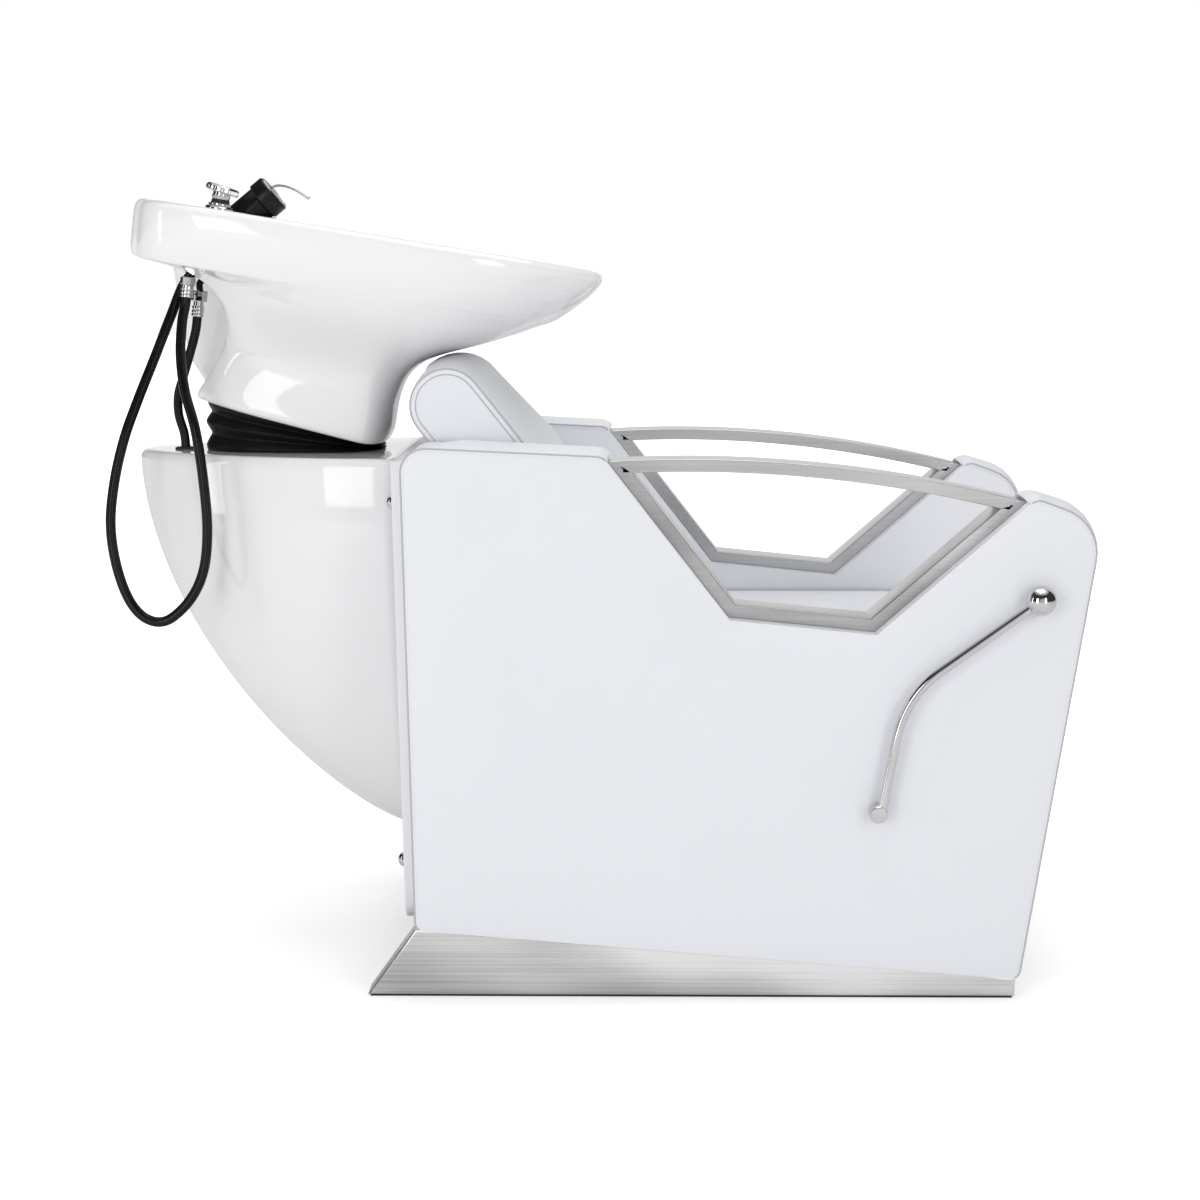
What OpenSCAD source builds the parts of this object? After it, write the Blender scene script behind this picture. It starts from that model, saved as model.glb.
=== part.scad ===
// Salon shampoo station: a chair with a tilting ceramic basin behind it.
// X runs from the basin (-) to the client's feet (+), Y across the seat, Z up from the floor.
// The origin lies on the floor under the middle of the station's length.

/* [Chair body] */
// Width over the two side panels
body_w = 660; // [620:5:720]
// Clear width of the seat between the side panels
seat_w = 430; // [400:5:460]
// X of the side panels' rear edge at its foot
panel_rear_x = -220; // [-240:1:-210]
// X of the side panels' front edge at its foot
panel_front_x = 529; // [510:1:550]
// Lean of the side panels' front edge from upright
front_lean = 8.7; // [6:0.1:10]
// Lean of the side panels' rear edge and of the rear plate
rear_lean = 1.2; // [0:0.1:3]
// Height of the side panels' rear top corner
shoulder_h = 688; // [675:1:700]
// Height of the side panels' front top corner
nose_h = 600; // [590:1:610]
// Swell of the padding between a side panel's two seams
panel_crown = 9; // [4:1:14]

/* [Arm rests] */
// X of the frame's rear corner
arm_rear_x = 18; // [0:1:40]
// Height of the frame's rear corner
arm_rear_h = 672; // [660:1:680]
// X of the frame's front corner
arm_front_x = 528; // [510:1:540]
// Height of the frame's front corner
arm_front_h = 623; // [610:1:635]
// X of the notch's rear low corner
notch_rear_x = 167; // [150:1:190]
// Height of the notch's rear low corner
notch_rear_h = 481; // [470:1:500]
// X of the notch's front low corner
notch_front_x = 346; // [330:1:370]
// Height of the notch's front low corner
notch_front_h = 463; // [450:1:480]
// Thickness of the frame's flat bar, seen from the side
arm_bar = 15.5; // [12:0.5:18]
// Depth of the frame across the panel
arm_depth = 62; // [50:1:75]
// Distance of the frame from the panel's outer face
arm_inset = 26; // [18:1:30]
// Rise of the arm rest's curved top bar
arm_rise = 20; // [10:1:28]

/* [Base] */
// Height of the skirts at their rear top corner
base_h = 87; // [80:1:95]
// Fall of the skirts' top edge towards the feet
base_fall = 4.6; // [3:0.1:5]
// X of the skirts' rear toe
base_toe_x = -282; // [-300:1:-265]
// X of the skirts' rear top corner
base_rear_x = -222; // [-235:1:-210]
// X of the skirts' front end
base_front_x = 528; // [505:1:540]
// Distance of the skirts inside the side panels' outer faces
skirt_inset = 20; // [12:1:30]
// Thickness of the skirts' sheet
skirt_t = 3; // [2:0.5:4]
// Width of the skirts' turned-in flanges
flange_w = 42; // [30:1:60]
// Thickness of the rubber strips under the skirts
foot_t = 2.5; // [2:0.5:5]

/* [Seat and back] */
// Height of the seat board's top face
deck_h = 393; // [385:1:400]
// Thickness of the seat cushion at its seams
seat_pad_t = 49; // [40:1:60]
// Swell of the seat cushion's top
seat_crown = 9; // [4:1:14]
// X of the seat cushion's front face
seat_front_x = 577; // [560:1:580]
// X of the seat cushion's rear face
seat_rear_x = 121; // [118:1:140]
// Slope of the back cushion's face from level
back_slope = 51.4; // [48:0.1:56]
// X where the back cushion's face line meets the seat board
back_foot_x = 147; // [135:1:155]
// Thickness of the back cushion at its seams
back_t = 92; // [80:1:100]
// Length of the back cushion up to its round top, from the seat board
back_len = 519; // [500:1:525]
// Swell of the back cushion's face
back_crown = 25; // [12:1:28]
// Thickness of the boards behind and under the cushions
board_t = 12; // [9:1:18]

/* [Rear plate and pedestal] */
// Thickness of the rear plate
plate_t = 20; // [15:1:25]
// Width of the rear plate
plate_w = 500; // [470:1:520]
// Height of the rear plate's top edge
plate_top = 668; // [650:1:675]
// Height of the rear plate's bottom edge
plate_low = 82; // [75:1:110]
// Diameter of the domed screw heads
dome_d = 20; // [14:1:26]
// Height of the pedestal shell's top
shell_top = 666; // [660:1:668]
// Length of the pedestal shell behind the rear plate
shell_len = 361; // [340:1:380]
// Width of the pedestal shell at the rear plate
shell_w = 420; // [380:5:460]
// Depth of the pedestal shell at the rear plate
shell_d = 512; // [480:1:540]
// Wall of the pedestal shell
shell_wall = 6; // [4:0.5:8]

/* [Basin] */
// Forward lean of the basin at rest, from level
basin_lean = 9.2; // [7:0.1:11]
// Width of the basin over its rim
basin_w = 490; // [460:5:510]
// Height of the rim above the foot's front edge, square to the rim
basin_h = 273; // [266:1:280]
// Wall of the basin
basin_wall = 17; // [14:0.5:20]
// Radius of the drain hole
drain_r = 22; // [18:0.5:26]
// Angle that the basin tips back
tip_back = 12; // [6:1:12]
// Diameter of the basin's hinge pin
tilt_pin_d = 12; // [8:1:16]

/* [Taps and shower] */
// Diameter of the mixer's cap
mixer_d = 52; // [44:1:58]
// Angle of the mixer's axis above level
mixer_rise = 39; // [30:1:50]
// Diameter of the shower's spray disc
spray_d = 43; // [36:1:50]
// Thickness of the shower's spray disc
spray_t = 9; // [7:0.5:12]
// Diameter of the shower's grip
grip_d = 25; // [22:0.5:28]
// Diameter of the shower hose
hose_d = 13; // [11:0.5:15]
// Diameter of the supply hose
supply_d = 12; // [10:0.5:14]

/* [Leg rest and lever] */
// Width of the leg rest's pad
leg_w = 366; // [340:2:372]
// Thickness of the leg rest's pad at its seams
leg_pad_t = 50; // [40:1:54]
// Length of the leg rest's pad
leg_len = 268; // [240:1:275]
// X of the leg rest's hinge
leg_x = 556; // [550:1:560]
// Height of the leg rest's hinge
leg_h = 350; // [345:1:351]
// X of the side lever's pivot
lever_x = 349; // [335:1:365]
// Height of the side lever's pivot
lever_h = 246; // [235:1:255]
// Diameter of the side lever's rod
lever_d = 12; // [9:0.5:14]
// Diameter of the side lever's ball
ball_d = 37; // [30:1:42]
// Diameter of the lever's shaft
shaft_d = 14; // [12:1:18]
// Length of the crank and of the leg rest's matching crank
crank_len = 55; // [48:1:58]
// Width of the push link and of the crank
link_w = 18; // [16:1:22]
// Thickness of the crank, the link and the leg rest's arms
link_t = 6; // [5:0.5:7]

/* [Hidden] */

// Radial play of a turning or sliding fit
play = 0.05;
// Side gap between plates that move past each other
gap = 1;
// Gap between a moving piece and what it stops against
air = 0.3;
// Gap left between flat faces that only meet
skin = 0.02;
// Facets of a full circle
fine = 48;

// Outlines

function unit(v) = v / norm(v);

// Turns a leg of an outline's corner into an arc of radius r in steps pieces
function corner(a, b, c, r, steps) =
    r <= 0 ? [b] :
    let (
        u = unit(a - b),
        v = unit(c - b),
        half = acos(u * v) / 2,
        mid = b + unit(u + v) * r / sin(half),
        from = b + u * r / tan(half) - mid,
        to = b + v * r / tan(half) - mid,
        start = atan2(from.y, from.x),
        turn = atan2(to.y, to.x) - start,
        sweep = turn > 180 ? turn - 360 : (turn < -180 ? turn + 360 : turn)
    )
    [for (i = [0:steps]) mid + r * [cos(start + sweep * i / steps), sin(start + sweep * i / steps)]];

// Corners are [x, z, radius, swell]; the result is the rounded outline
function rounded(corners, steps) =
    let (n = len(corners))
    [for (i = [0:n - 1])
        let (
            p = corners[(i + n - 1) % n],
            q = corners[i],
            s = corners[(i + 1) % n]
        )
        each corner([p[0], p[1]], [q[0], q[1]], [s[0], s[1]], q[2], steps)];

// The swell of each point of that outline
function swells(corners, steps) =
    [for (q = corners) each [for (i = [0:(q[2] <= 0 ? 0 : steps)]) q[3]]];

// Moves each point of an outline that runs anticlockwise outwards by its own distance
function grown(pts, by) =
    let (n = len(pts))
    [for (i = [0:n - 1])
        let (
            e = unit(pts[i] - pts[(i + n - 1) % n]),
            f = unit(pts[(i + 1) % n] - pts[i]),
            m = unit([e.y + f.y, -e.x - f.x]),
            stretch = 1 / max(0.5, m * [e.y, -e.x]),
            d = is_list(by) ? by[i] : by
        )
        pts[i] + m * d * stretch];

// A bow from p to q that rises by rise at its middle, without its last point
function bow(p, q, rise, steps) =
    let (
        chord = norm(q - p),
        r = (chord * chord / 4 + rise * rise) / (2 * rise),
        half = asin(chord / 2 / r),
        along = unit(q - p),
        up = [-along.y, along.x],
        mid = (p + q) / 2 - up * (r - rise)
    )
    [for (i = [0:steps - 1])
        let (a = -half + 2 * half * i / steps)
        mid + along * r * sin(a) + up * r * cos(a)];

// Skins

// Triangles between m rings of n points each; a loop joins the last ring to the first
function skin_tris(m, n, loop) =
    [for (k = [0:(loop ? m - 1 : m - 2)], i = [0:n - 1])
        let (
            a = k * n + i,
            b = k * n + (i + 1) % n,
            c = ((k + 1) % m) * n + (i + 1) % n,
            d = ((k + 1) % m) * n + i
        )
        each [[a, b, c], [a, c, d]]];

// A closed skin whose two ends fan out from the given middle points
module capped_skin(rings, mid_first, mid_last) {
    m = len(rings);
    n = len(rings[0]);
    first = m * n;
    last = m * n + 1;
    polyhedron(
        points = [each [for (r = rings) each r], mid_first, mid_last],
        faces = [
            each skin_tris(m, n, false),
            each [for (i = [0:n - 1]) [first, (i + 1) % n, i]],
            each [for (i = [0:n - 1]) [last, (m - 1) * n + i, (m - 1) * n + (i + 1) % n]]
        ]
    );
}

// A skin that closes on itself, like the wall of a tube
module ring_skin(rings) {
    polyhedron(
        points = [for (r = rings) each r],
        faces = skin_tris(len(rings), len(rings[0]), true)
    );
}

// A slab across Y whose x-z outline swells between two flat cheeks
module swollen_slab(outline, swell, middle, y_mid, half_w, crown, steps, draw = 0) {
    n = len(outline);
    rings = [
        for (k = [0:steps])
            let (
                v = -sin(90 * (1 - 2 * k / steps)),
                body = grown(outline, [for (s = swell) s * crown * (1 - v * v)])
            )
            [for (i = [0:n - 1])
                let (waist = draw * pow(sin(180 * i / n), 2))
                [body[i].x, y_mid + v * (half_w - waist), body[i].y]]
    ];
    capped_skin(rings, [middle.x, y_mid - half_w + draw / 2, middle.y],
        [middle.x, y_mid + half_w - draw / 2, middle.y]);
}

// A plate across Y from an x-z outline, between two values of y
module plate_y(y_low, y_high) {
    translate([0, y_high, 0])
        rotate([90, 0, 0])
            linear_extrude(y_high - y_low)
                children();
}

// A bar of circular section along Y
module bar_y(x, z, d, y_low, y_high) {
    translate([x, y_high, z])
        rotate([90, 0, 0])
            cylinder(d = d, h = y_high - y_low, $fn = fine);
}

// A round cord through a smooth curve over its route's points
function curve_at(p, i, t) =
    let (
        n = len(p),
        a = p[max(0, i - 1)],
        b = p[i],
        c = p[min(n - 1, i + 1)],
        d = p[min(n - 1, i + 2)]
    )
    0.5 * (2 * b + (c - a) * t + (2 * a - 5 * b + 4 * c - d) * t * t + (3 * b - a - 3 * c + d) * t * t * t);

function smooth_route(p, steps) =
    [for (i = [0:len(p) - 2], j = [0:steps - 1]) curve_at(p, i, j / steps), p[len(p) - 1]];

// dir_first and dir_last, where given, are the ways it leaves its first point and enters its last
module cord(route, d, sides, steps, dir_first = undef, dir_last = undef) {
    path = smooth_route(route, steps);
    m = len(path);
    rings = [
        for (k = [0:m - 1])
            let (
                given = k == 0 ? dir_first : (k == m - 1 ? dir_last : undef),
                t = is_undef(given) ? unit(path[min(m - 1, k + 1)] - path[max(0, k - 1)]) : given,
                v = unit([0, 1, 0] - t * t.y),
                w = cross(v, t)
            )
            [for (i = [0:sides - 1])
                path[k] + d / 2 * (cos(360 * i / sides) * v + sin(360 * i / sides) * w)]
    ];
    capped_skin(rings, path[0], path[m - 1]);
}

// Chair body

half_body = body_w / 2;
half_seat = seat_w / 2;
panel_t = half_body - half_seat;

// Height of the skirts' top edge at x
function skirt_top(x) = base_h - (x - base_rear_x) * tan(base_fall);
// Gap between the skirts and the side panels, filled by the base frame's rails
rail_rise = 4;
function panel_low(x) = skirt_top(x) + rail_rise;

// X of the side panels' rear and front edges at height z
function rear_edge(z) = panel_rear_x - (z - base_h) * tan(rear_lean);
function front_edge(z) = panel_front_x + (z - panel_low(panel_front_x)) * tan(front_lean);

// Fall of the shoulder towards the arm rest and of the nose towards the feet
shoulder_fall = 2.6;
arm_front = [arm_front_x, arm_front_h];
arm_rear = [arm_rear_x, arm_rear_h];
notch_front = [notch_front_x, notch_front_h];
notch_rear = [notch_rear_x, notch_rear_h];
// The padding rises this far past the ends of the arm rest
past_arm = 10;
nose_rear = arm_front + past_arm * unit(arm_front - notch_front);
shoulder_end = arm_rear + past_arm * unit(arm_rear - notch_rear);
low_end_x = panel_front_x - 16;
shoulder_full_x = rear_edge(shoulder_h) + 70;
function shoulder_z(x) = shoulder_end.y + (shoulder_end.x - x) * tan(shoulder_fall);

panel_corners = [
    [rear_edge(panel_low(panel_rear_x)), panel_low(panel_rear_x), 12, 0],
    [low_end_x, panel_low(low_end_x), 0, 0],
    [panel_front_x, panel_low(panel_front_x), 12, 0.3],
    [front_edge(nose_h), nose_h, 48, 1],
    [nose_rear.x, nose_rear.y, 12, 0.8],
    [each arm_front, 0, 0],
    [each notch_front, 0, 0],
    [each notch_rear, 0, 0],
    [each arm_rear, 0, 0],
    [shoulder_end.x, shoulder_end.y, 14, 0.8],
    [shoulder_full_x, shoulder_z(shoulder_full_x), 0, 0.9],
    [rear_edge(shoulder_h), shoulder_z(rear_edge(shoulder_h)), 30, 0]
];
panel_steps = 6;
panel_rings = 8;

module side_panel(side) {
    swollen_slab(
        rounded(panel_corners, panel_steps), swells(panel_corners, panel_steps),
        [notch_rear_x, notch_rear_h / 2], side * (half_body + half_seat) / 2, panel_t / 2,
        panel_crown, panel_rings
    );
}

bush_d = shaft_d + 6;

module side_panel_right() {
    color("whitesmoke")
        difference() {
            side_panel(-1);
            bar_y(lever_x, lever_h, bush_d, -half_body - 1, -half_seat + 1);
        }
}

module side_panel_left() {
    color("whitesmoke")
        side_panel(1);
}

// The frame's outline runs anticlockwise from its front corner over the bowed top bar
arm_steps = 14;
arm_outline = [
    each bow(arm_front, arm_rear, -arm_rise, arm_steps),
    arm_rear,
    notch_rear,
    notch_front
];

module armrest_frame(side) {
    near = side * (half_body - arm_inset);
    far = side * (half_body - arm_inset - arm_depth);
    color("silver")
        plate_y(min(near, far), max(near, far))
            difference() {
                polygon(arm_outline);
                polygon(grown(arm_outline, -arm_bar));
            }
}

module armrest_frame_right() {
    armrest_frame(-1);
}

module armrest_frame_left() {
    armrest_frame(1);
}

// Base

skirt_y = half_body - skirt_inset;
skirt_outline = [
    [base_toe_x, foot_t],
    [base_front_x, foot_t],
    [base_front_x, skirt_top(base_front_x)],
    [base_rear_x, skirt_top(base_rear_x)]
];

// A folded pan: the face outside and flanges all round turned inwards
module base_skirt() {
    color("silver") {
        plate_y(-skirt_y, -skirt_y + skirt_t)
            polygon(skirt_outline);
        plate_y(-skirt_y, -skirt_y + flange_w)
            difference() {
                polygon(skirt_outline);
                polygon(grown(skirt_outline, -skirt_t));
            }
    }
}

module base_skirt_right() {
    base_skirt();
}

module base_skirt_left() {
    mirror([0, 1, 0])
        base_skirt();
}

strip_inset = 3;
centre_foot_d = 44;

// Strips under the skirts and a round foot under the middle cross tube
module foot_strips() {
    color("dimgray") {
        for (side = [-1, 1])
            translate([base_toe_x + strip_inset, side * (skirt_y - flange_w / 2) - flange_w / 2 + strip_inset, 0])
                cube([base_front_x - base_toe_x - 2 * strip_inset, flange_w - 2 * strip_inset, foot_t]);
        cylinder(d = centre_foot_d, h = cross_z - cross_t, $fn = fine);
    }
}

// Rails on the skirts' top flanges, cross tubes between them and two uprights for the rear plate
cross_w = 50;
cross_t = 25;
cross_z = 40;
cross_wall = 2.5;
cross_xs = [base_rear_x + 80, -cross_w / 2, panel_front_x - 330];
post_w = 30;
post_y = 150;
post_top = shell_top - 30;
post_front = 3;

rail_rear_x = base_rear_x + 4;
rail_front_x = base_front_x - 18;
web_t = 4;
web_low = 12;

// A ledge over the skirt's top flange and a web along the inner edges of its flanges
module rail() {
    plate_y(-skirt_y + skirt_t, -skirt_y + flange_w + web_t)
        polygon([
            [rail_rear_x, skirt_top(rail_rear_x)],
            [rail_front_x, skirt_top(rail_front_x)],
            [rail_front_x, panel_low(rail_front_x) - skin],
            [rail_rear_x, panel_low(rail_rear_x) - skin]
        ]);
    plate_y(-skirt_y + flange_w, -skirt_y + flange_w + web_t)
        polygon([
            [rail_rear_x, web_low],
            [rail_front_x, web_low],
            [rail_front_x, panel_low(rail_front_x) - skin],
            [rail_rear_x, panel_low(rail_rear_x) - skin]
        ]);
}

module cross_tube(x) {
    difference() {
        translate([x, -skirt_y + flange_w, cross_z - cross_t])
            cube([cross_w, 2 * (skirt_y - flange_w), cross_t]);
        translate([x + cross_wall, -skirt_y + flange_w - 1, cross_z - cross_t + cross_wall])
            cube([cross_w - 2 * cross_wall, 2 * (skirt_y - flange_w) + 2, cross_t - 2 * cross_wall]);
    }
}

module upright(side) {
    plate_y(side * post_y - post_w / 2, side * post_y + post_w / 2)
        polygon([
            [rear_edge(cross_z), cross_z],
            [rear_edge(cross_z) + post_w, cross_z],
            [rear_edge(post_top) + post_w, post_top],
            [rear_edge(post_top), post_top]
        ]);
}

module base_frame() {
    color("gray") {
        rail();
        mirror([0, 1, 0])
            rail();
        for (x = cross_xs)
            cross_tube(x);
        for (side = [-1, 1]) {
            upright(side);
            translate([rear_edge(cross_z), side * post_y - post_w / 2, cross_z - cross_t])
                cube([cross_xs[0] + cross_w - rear_edge(cross_z), post_w, cross_t]);
        }
    }
}

// Seat and back

seat_box_h = 58;
seat_box_rear = 20;
seat_box_front = leg_x - leg_pad_t - 18;
deck_front = seat_front_x - 18;
ear_t = link_t;
// Layers from a side panel inwards: ear and crank, link, leg rest arm
crank_y = half_seat - gap - link_t;
link_y = crank_y - gap - link_t;
arm_y = link_y - gap - link_t;

module seat_frame() {
    color("burlywood") {
        difference() {
            translate([seat_box_rear, -half_seat, deck_h - seat_box_h])
                cube([seat_box_front - seat_box_rear, seat_w, seat_box_h]);
            translate([seat_box_rear + board_t, -half_seat + board_t, deck_h - seat_box_h - 1])
                cube([seat_box_front - seat_box_rear - 2 * board_t, seat_w - 2 * board_t, seat_box_h - board_t + 1]);
        }
        translate([seat_box_front - board_t, -half_seat, deck_h - board_t])
            cube([deck_front - seat_box_front + board_t, seat_w, board_t]);
    }
}

seat_corners = [
    [seat_rear_x, deck_h, 4, 0],
    [seat_front_x - 6, deck_h, 10, 0],
    [seat_front_x, deck_h + seat_pad_t, 22, 0.8],
    [(seat_front_x + seat_rear_x) / 2, deck_h + seat_pad_t, 0, 1],
    [seat_rear_x, deck_h + seat_pad_t, 12, 0.3]
];
cushion_steps = 6;
cushion_rings = 12;
cushion_gap = 2;

module seat_cushion() {
    color("white")
        swollen_slab(
            rounded(seat_corners, cushion_steps), swells(seat_corners, cushion_steps),
            [(seat_front_x + seat_rear_x) / 2, deck_h + seat_pad_t / 2], 0, half_seat - cushion_gap,
            seat_crown, cushion_rings, 1
        );
}

// The back's own frame: s along its face up from the seat board, t from the face backwards
function back_point(s, t) =
    [back_foot_x - s * cos(back_slope) - t * sin(back_slope), deck_h + s * sin(back_slope) - t * cos(back_slope)];

back_low = (seat_pad_t + seat_crown + 8) / sin(back_slope);
back_corners = [
    [each back_point(back_low, 0), 14, 0.3],
    [each back_point(back_len * 0.7, 0), 0, 1],
    [each back_point(back_len, 0), back_t * 0.49, 0.5],
    [each back_point(back_len, back_t), back_t * 0.49, 0.36],
    [each back_point(back_len * 0.7, back_t), 0, 0],
    [each back_point(back_low, back_t), 6, 0]
];

module back_cushion() {
    color("white")
        swollen_slab(
            rounded(back_corners, cushion_steps + 2), swells(back_corners, cushion_steps + 2),
            back_point((back_low + back_len) / 2, back_t / 2), 0, half_seat - cushion_gap,
            back_crown, cushion_rings, 2
        );
}

board_low = back_low + 10;
board_high = back_len * 0.7 - 4;

module back_board() {
    color("burlywood") {
        plate_y(-half_seat, half_seat)
            polygon([
                back_point(board_low, back_t),
                back_point(board_high, back_t),
                back_point(board_high, back_t + board_t),
                back_point(board_low, back_t + board_t)
            ]);
    }
}

// Rear plate

plate_mid = (plate_top + plate_low) / 2;
plate_len = (plate_top - plate_low) / cos(rear_lean);
function plate_rear(z) = rear_edge(z) - plate_t / cos(rear_lean);
plate_corners = [
    [-plate_w / 2, -plate_len / 2, 22, 0],
    [plate_w / 2, -plate_len / 2, 22, 0],
    [plate_w / 2, plate_len / 2, 8, 0],
    [-plate_w / 2, plate_len / 2, 8, 0]
];
screw_hole_d = 8;
screw_y = plate_w / 2 - 15;
screw_low = 158;
screw_high = 616;
waste_hole_z = 330;
waste_d = 40;

// Puts a piece drawn with Z as the plate's rearward normal onto the plate's front face at height z
module on_plate(y, z) {
    translate([rear_edge(z), y, z])
        rotate([0, -90 - rear_lean, 0])
            children();
}

module rear_plate() {
    color("white")
        difference() {
            translate([rear_edge(plate_mid), 0, plate_mid])
                rotate([0, -rear_lean, 0])
                    rotate([90, 0, -90])
                        linear_extrude(plate_t)
                            polygon(rounded(plate_corners, panel_steps));
            for (side = [-1, 1], z = [screw_low, screw_high])
                on_plate(side * screw_y, z)
                    translate([0, 0, -1])
                        cylinder(d = screw_hole_d + 2 * play, h = plate_t + 2, $fn = fine);
            on_plate(0, waste_hole_z)
                translate([0, 0, -1])
                    cylinder(d = waste_d + 4, h = plate_t + 2, $fn = fine);
        }
}

dome_rise = 8;

module dome_screws() {
    dome_r = (dome_d * dome_d / 4 + dome_rise * dome_rise) / (2 * dome_rise);
    color("silver")
        for (side = [-1, 1], z = [screw_low, screw_high])
            on_plate(side * screw_y, z) {
                cylinder(d = screw_hole_d, h = plate_t, $fn = fine);
                translate([0, 0, plate_t])
                    rotate_extrude($fn = fine)
                        polygon([
                            [0, 0],
                            [dome_d / 2, 0],
                            for (i = [0:6])
                                let (a = asin(dome_d / 2 / dome_r) * (1 - i / 6))
                                [dome_r * sin(a), dome_r * cos(a) - dome_r + dome_rise + (i == 0 ? 0.01 : 0)]
                        ]);
            }
}

// Pedestal shell

shell_x = plate_rear(shell_top);
shell_edge = 12;
shell_plan = [1.7, 0.59];
shell_keel = [1.3, 0.56];
shell_round = 2.3;
shell_sides = 32;
shell_stations = [0, 0.12, 0.26, 0.4, 0.53, 0.65, 0.75, 0.83, 0.9, 0.95, 0.985];

// How far a pointed half boat reaches at a share u of its length
function taper(u, powers) = pow(1 - pow(u, powers[0]), powers[1]);

// Half a rounded U with a flat top; wall shrinks it
function shell_ring(u, wall) =
    let (
        b = shell_w / 2 * taper(u, shell_plan) - wall,
        d = shell_d * taper(u, shell_keel) - wall,
        r = min(shell_edge, b * 0.4, d * 0.4),
        top = shell_top - wall
    )
    [for (i = [0:shell_sides - 1])
        let (a = 180 * i / (shell_sides - 5))
        i <= shell_sides - 5 ?
            [b * (cos(a) < 0 ? -1 : 1) * pow(abs(cos(a)), 2 / shell_round),
             top - r - (d - r) * pow(abs(sin(a)), 2 / shell_round)] :
            let (k = i - (shell_sides - 4))
            [[-b + r * 0.3, top - r * 0.3], [-b + r, top], [b - r, top], [b - r * 0.3, top - r * 0.3]][k]];

// Where a share u of the shell's length lies, on the leaning plate's rear face at u = 0
function shell_at(u, wall, ring) =
    [for (p = ring) [u == 0 ? plate_rear(p.y) - skin : shell_x - u * (shell_len - wall), p.x, p.y]];

module pedestal_shell() {
    outer = [for (i = [len(shell_stations) - 1:-1:0]) shell_at(shell_stations[i], 0, shell_ring(shell_stations[i], 0))];
    inner = [for (i = [0:len(shell_stations) - 3])
        shell_at(shell_stations[i], 2 * shell_wall, shell_ring(shell_stations[i], shell_wall))];
    tip = shell_stations[len(shell_stations) - 1];
    tip_in = shell_stations[len(shell_stations) - 3];
    color("white")
        difference() {
            capped_skin(
                [each outer, each inner],
                [shell_x - tip * shell_len - 2, 0, shell_top - shell_d * taper(tip, shell_keel) / 2],
                [shell_x - tip_in * (shell_len - 2 * shell_wall), 0, shell_top - shell_d * taper(tip_in, shell_keel) / 3]
            );
            translate([0, 0, shell_top - 3 * shell_wall])
                linear_extrude(4 * shell_wall)
                    polygon(gaiter_plan(-gaiter_lip));
            translate([grommet_x, grommet_y, shell_top - 3 * shell_wall])
                cylinder(d = grommet_d - 4, h = 4 * shell_wall, $fn = fine);
        }
}

grommet_x = -547;
grommet_y = -30;
grommet_d = supply_d + 12;
grommet_rim = 3;

module shell_grommet() {
    color("dimgray")
        translate([grommet_x, grommet_y, 0])
            difference() {
                union() {
                    translate([0, 0, shell_top])
                        cylinder(d = grommet_d + 4, h = grommet_rim, $fn = fine);
                    translate([0, 0, shell_top - shell_wall])
                        cylinder(d = grommet_d - 4, h = shell_wall, $fn = fine);
                }
                translate([0, 0, shell_top - shell_wall - 1])
                    cylinder(d = supply_d - 1, h = shell_wall + grommet_rim + 2, $fn = fine);
            }
}

// Basin

// The basin's own frame: x along the rim towards the feet, z square to the rim,
// from the point under the foot's front edge
basin_x = -290;
basin_z = 672;
module in_basin() {
    translate([basin_x, 0, basin_z])
        rotate([0, basin_lean, 0])
            children();
}
function from_basin(p) = [
    basin_x + p.x * cos(basin_lean) + p.z * sin(basin_lean),
    p.y,
    basin_z - p.x * sin(basin_lean) + p.z * cos(basin_lean)
];

basin_up = [sin(basin_lean), 0, cos(basin_lean)];

half_basin = basin_w / 2;
deck_t = 21;
apron_low = basin_h - 75;
recess_top = basin_h - deck_t;
rear_face = -335;
bowl_rear = -163;
neck_drop = 47;
neck_pull = 92;
neck_half = 118;
foot_half = 117;
foot_fall = 0.09;
bowl_floor = 104;
under_floor = bowl_floor - 15;
drain_x = -42;
seat_r = drain_r + 12;

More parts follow.
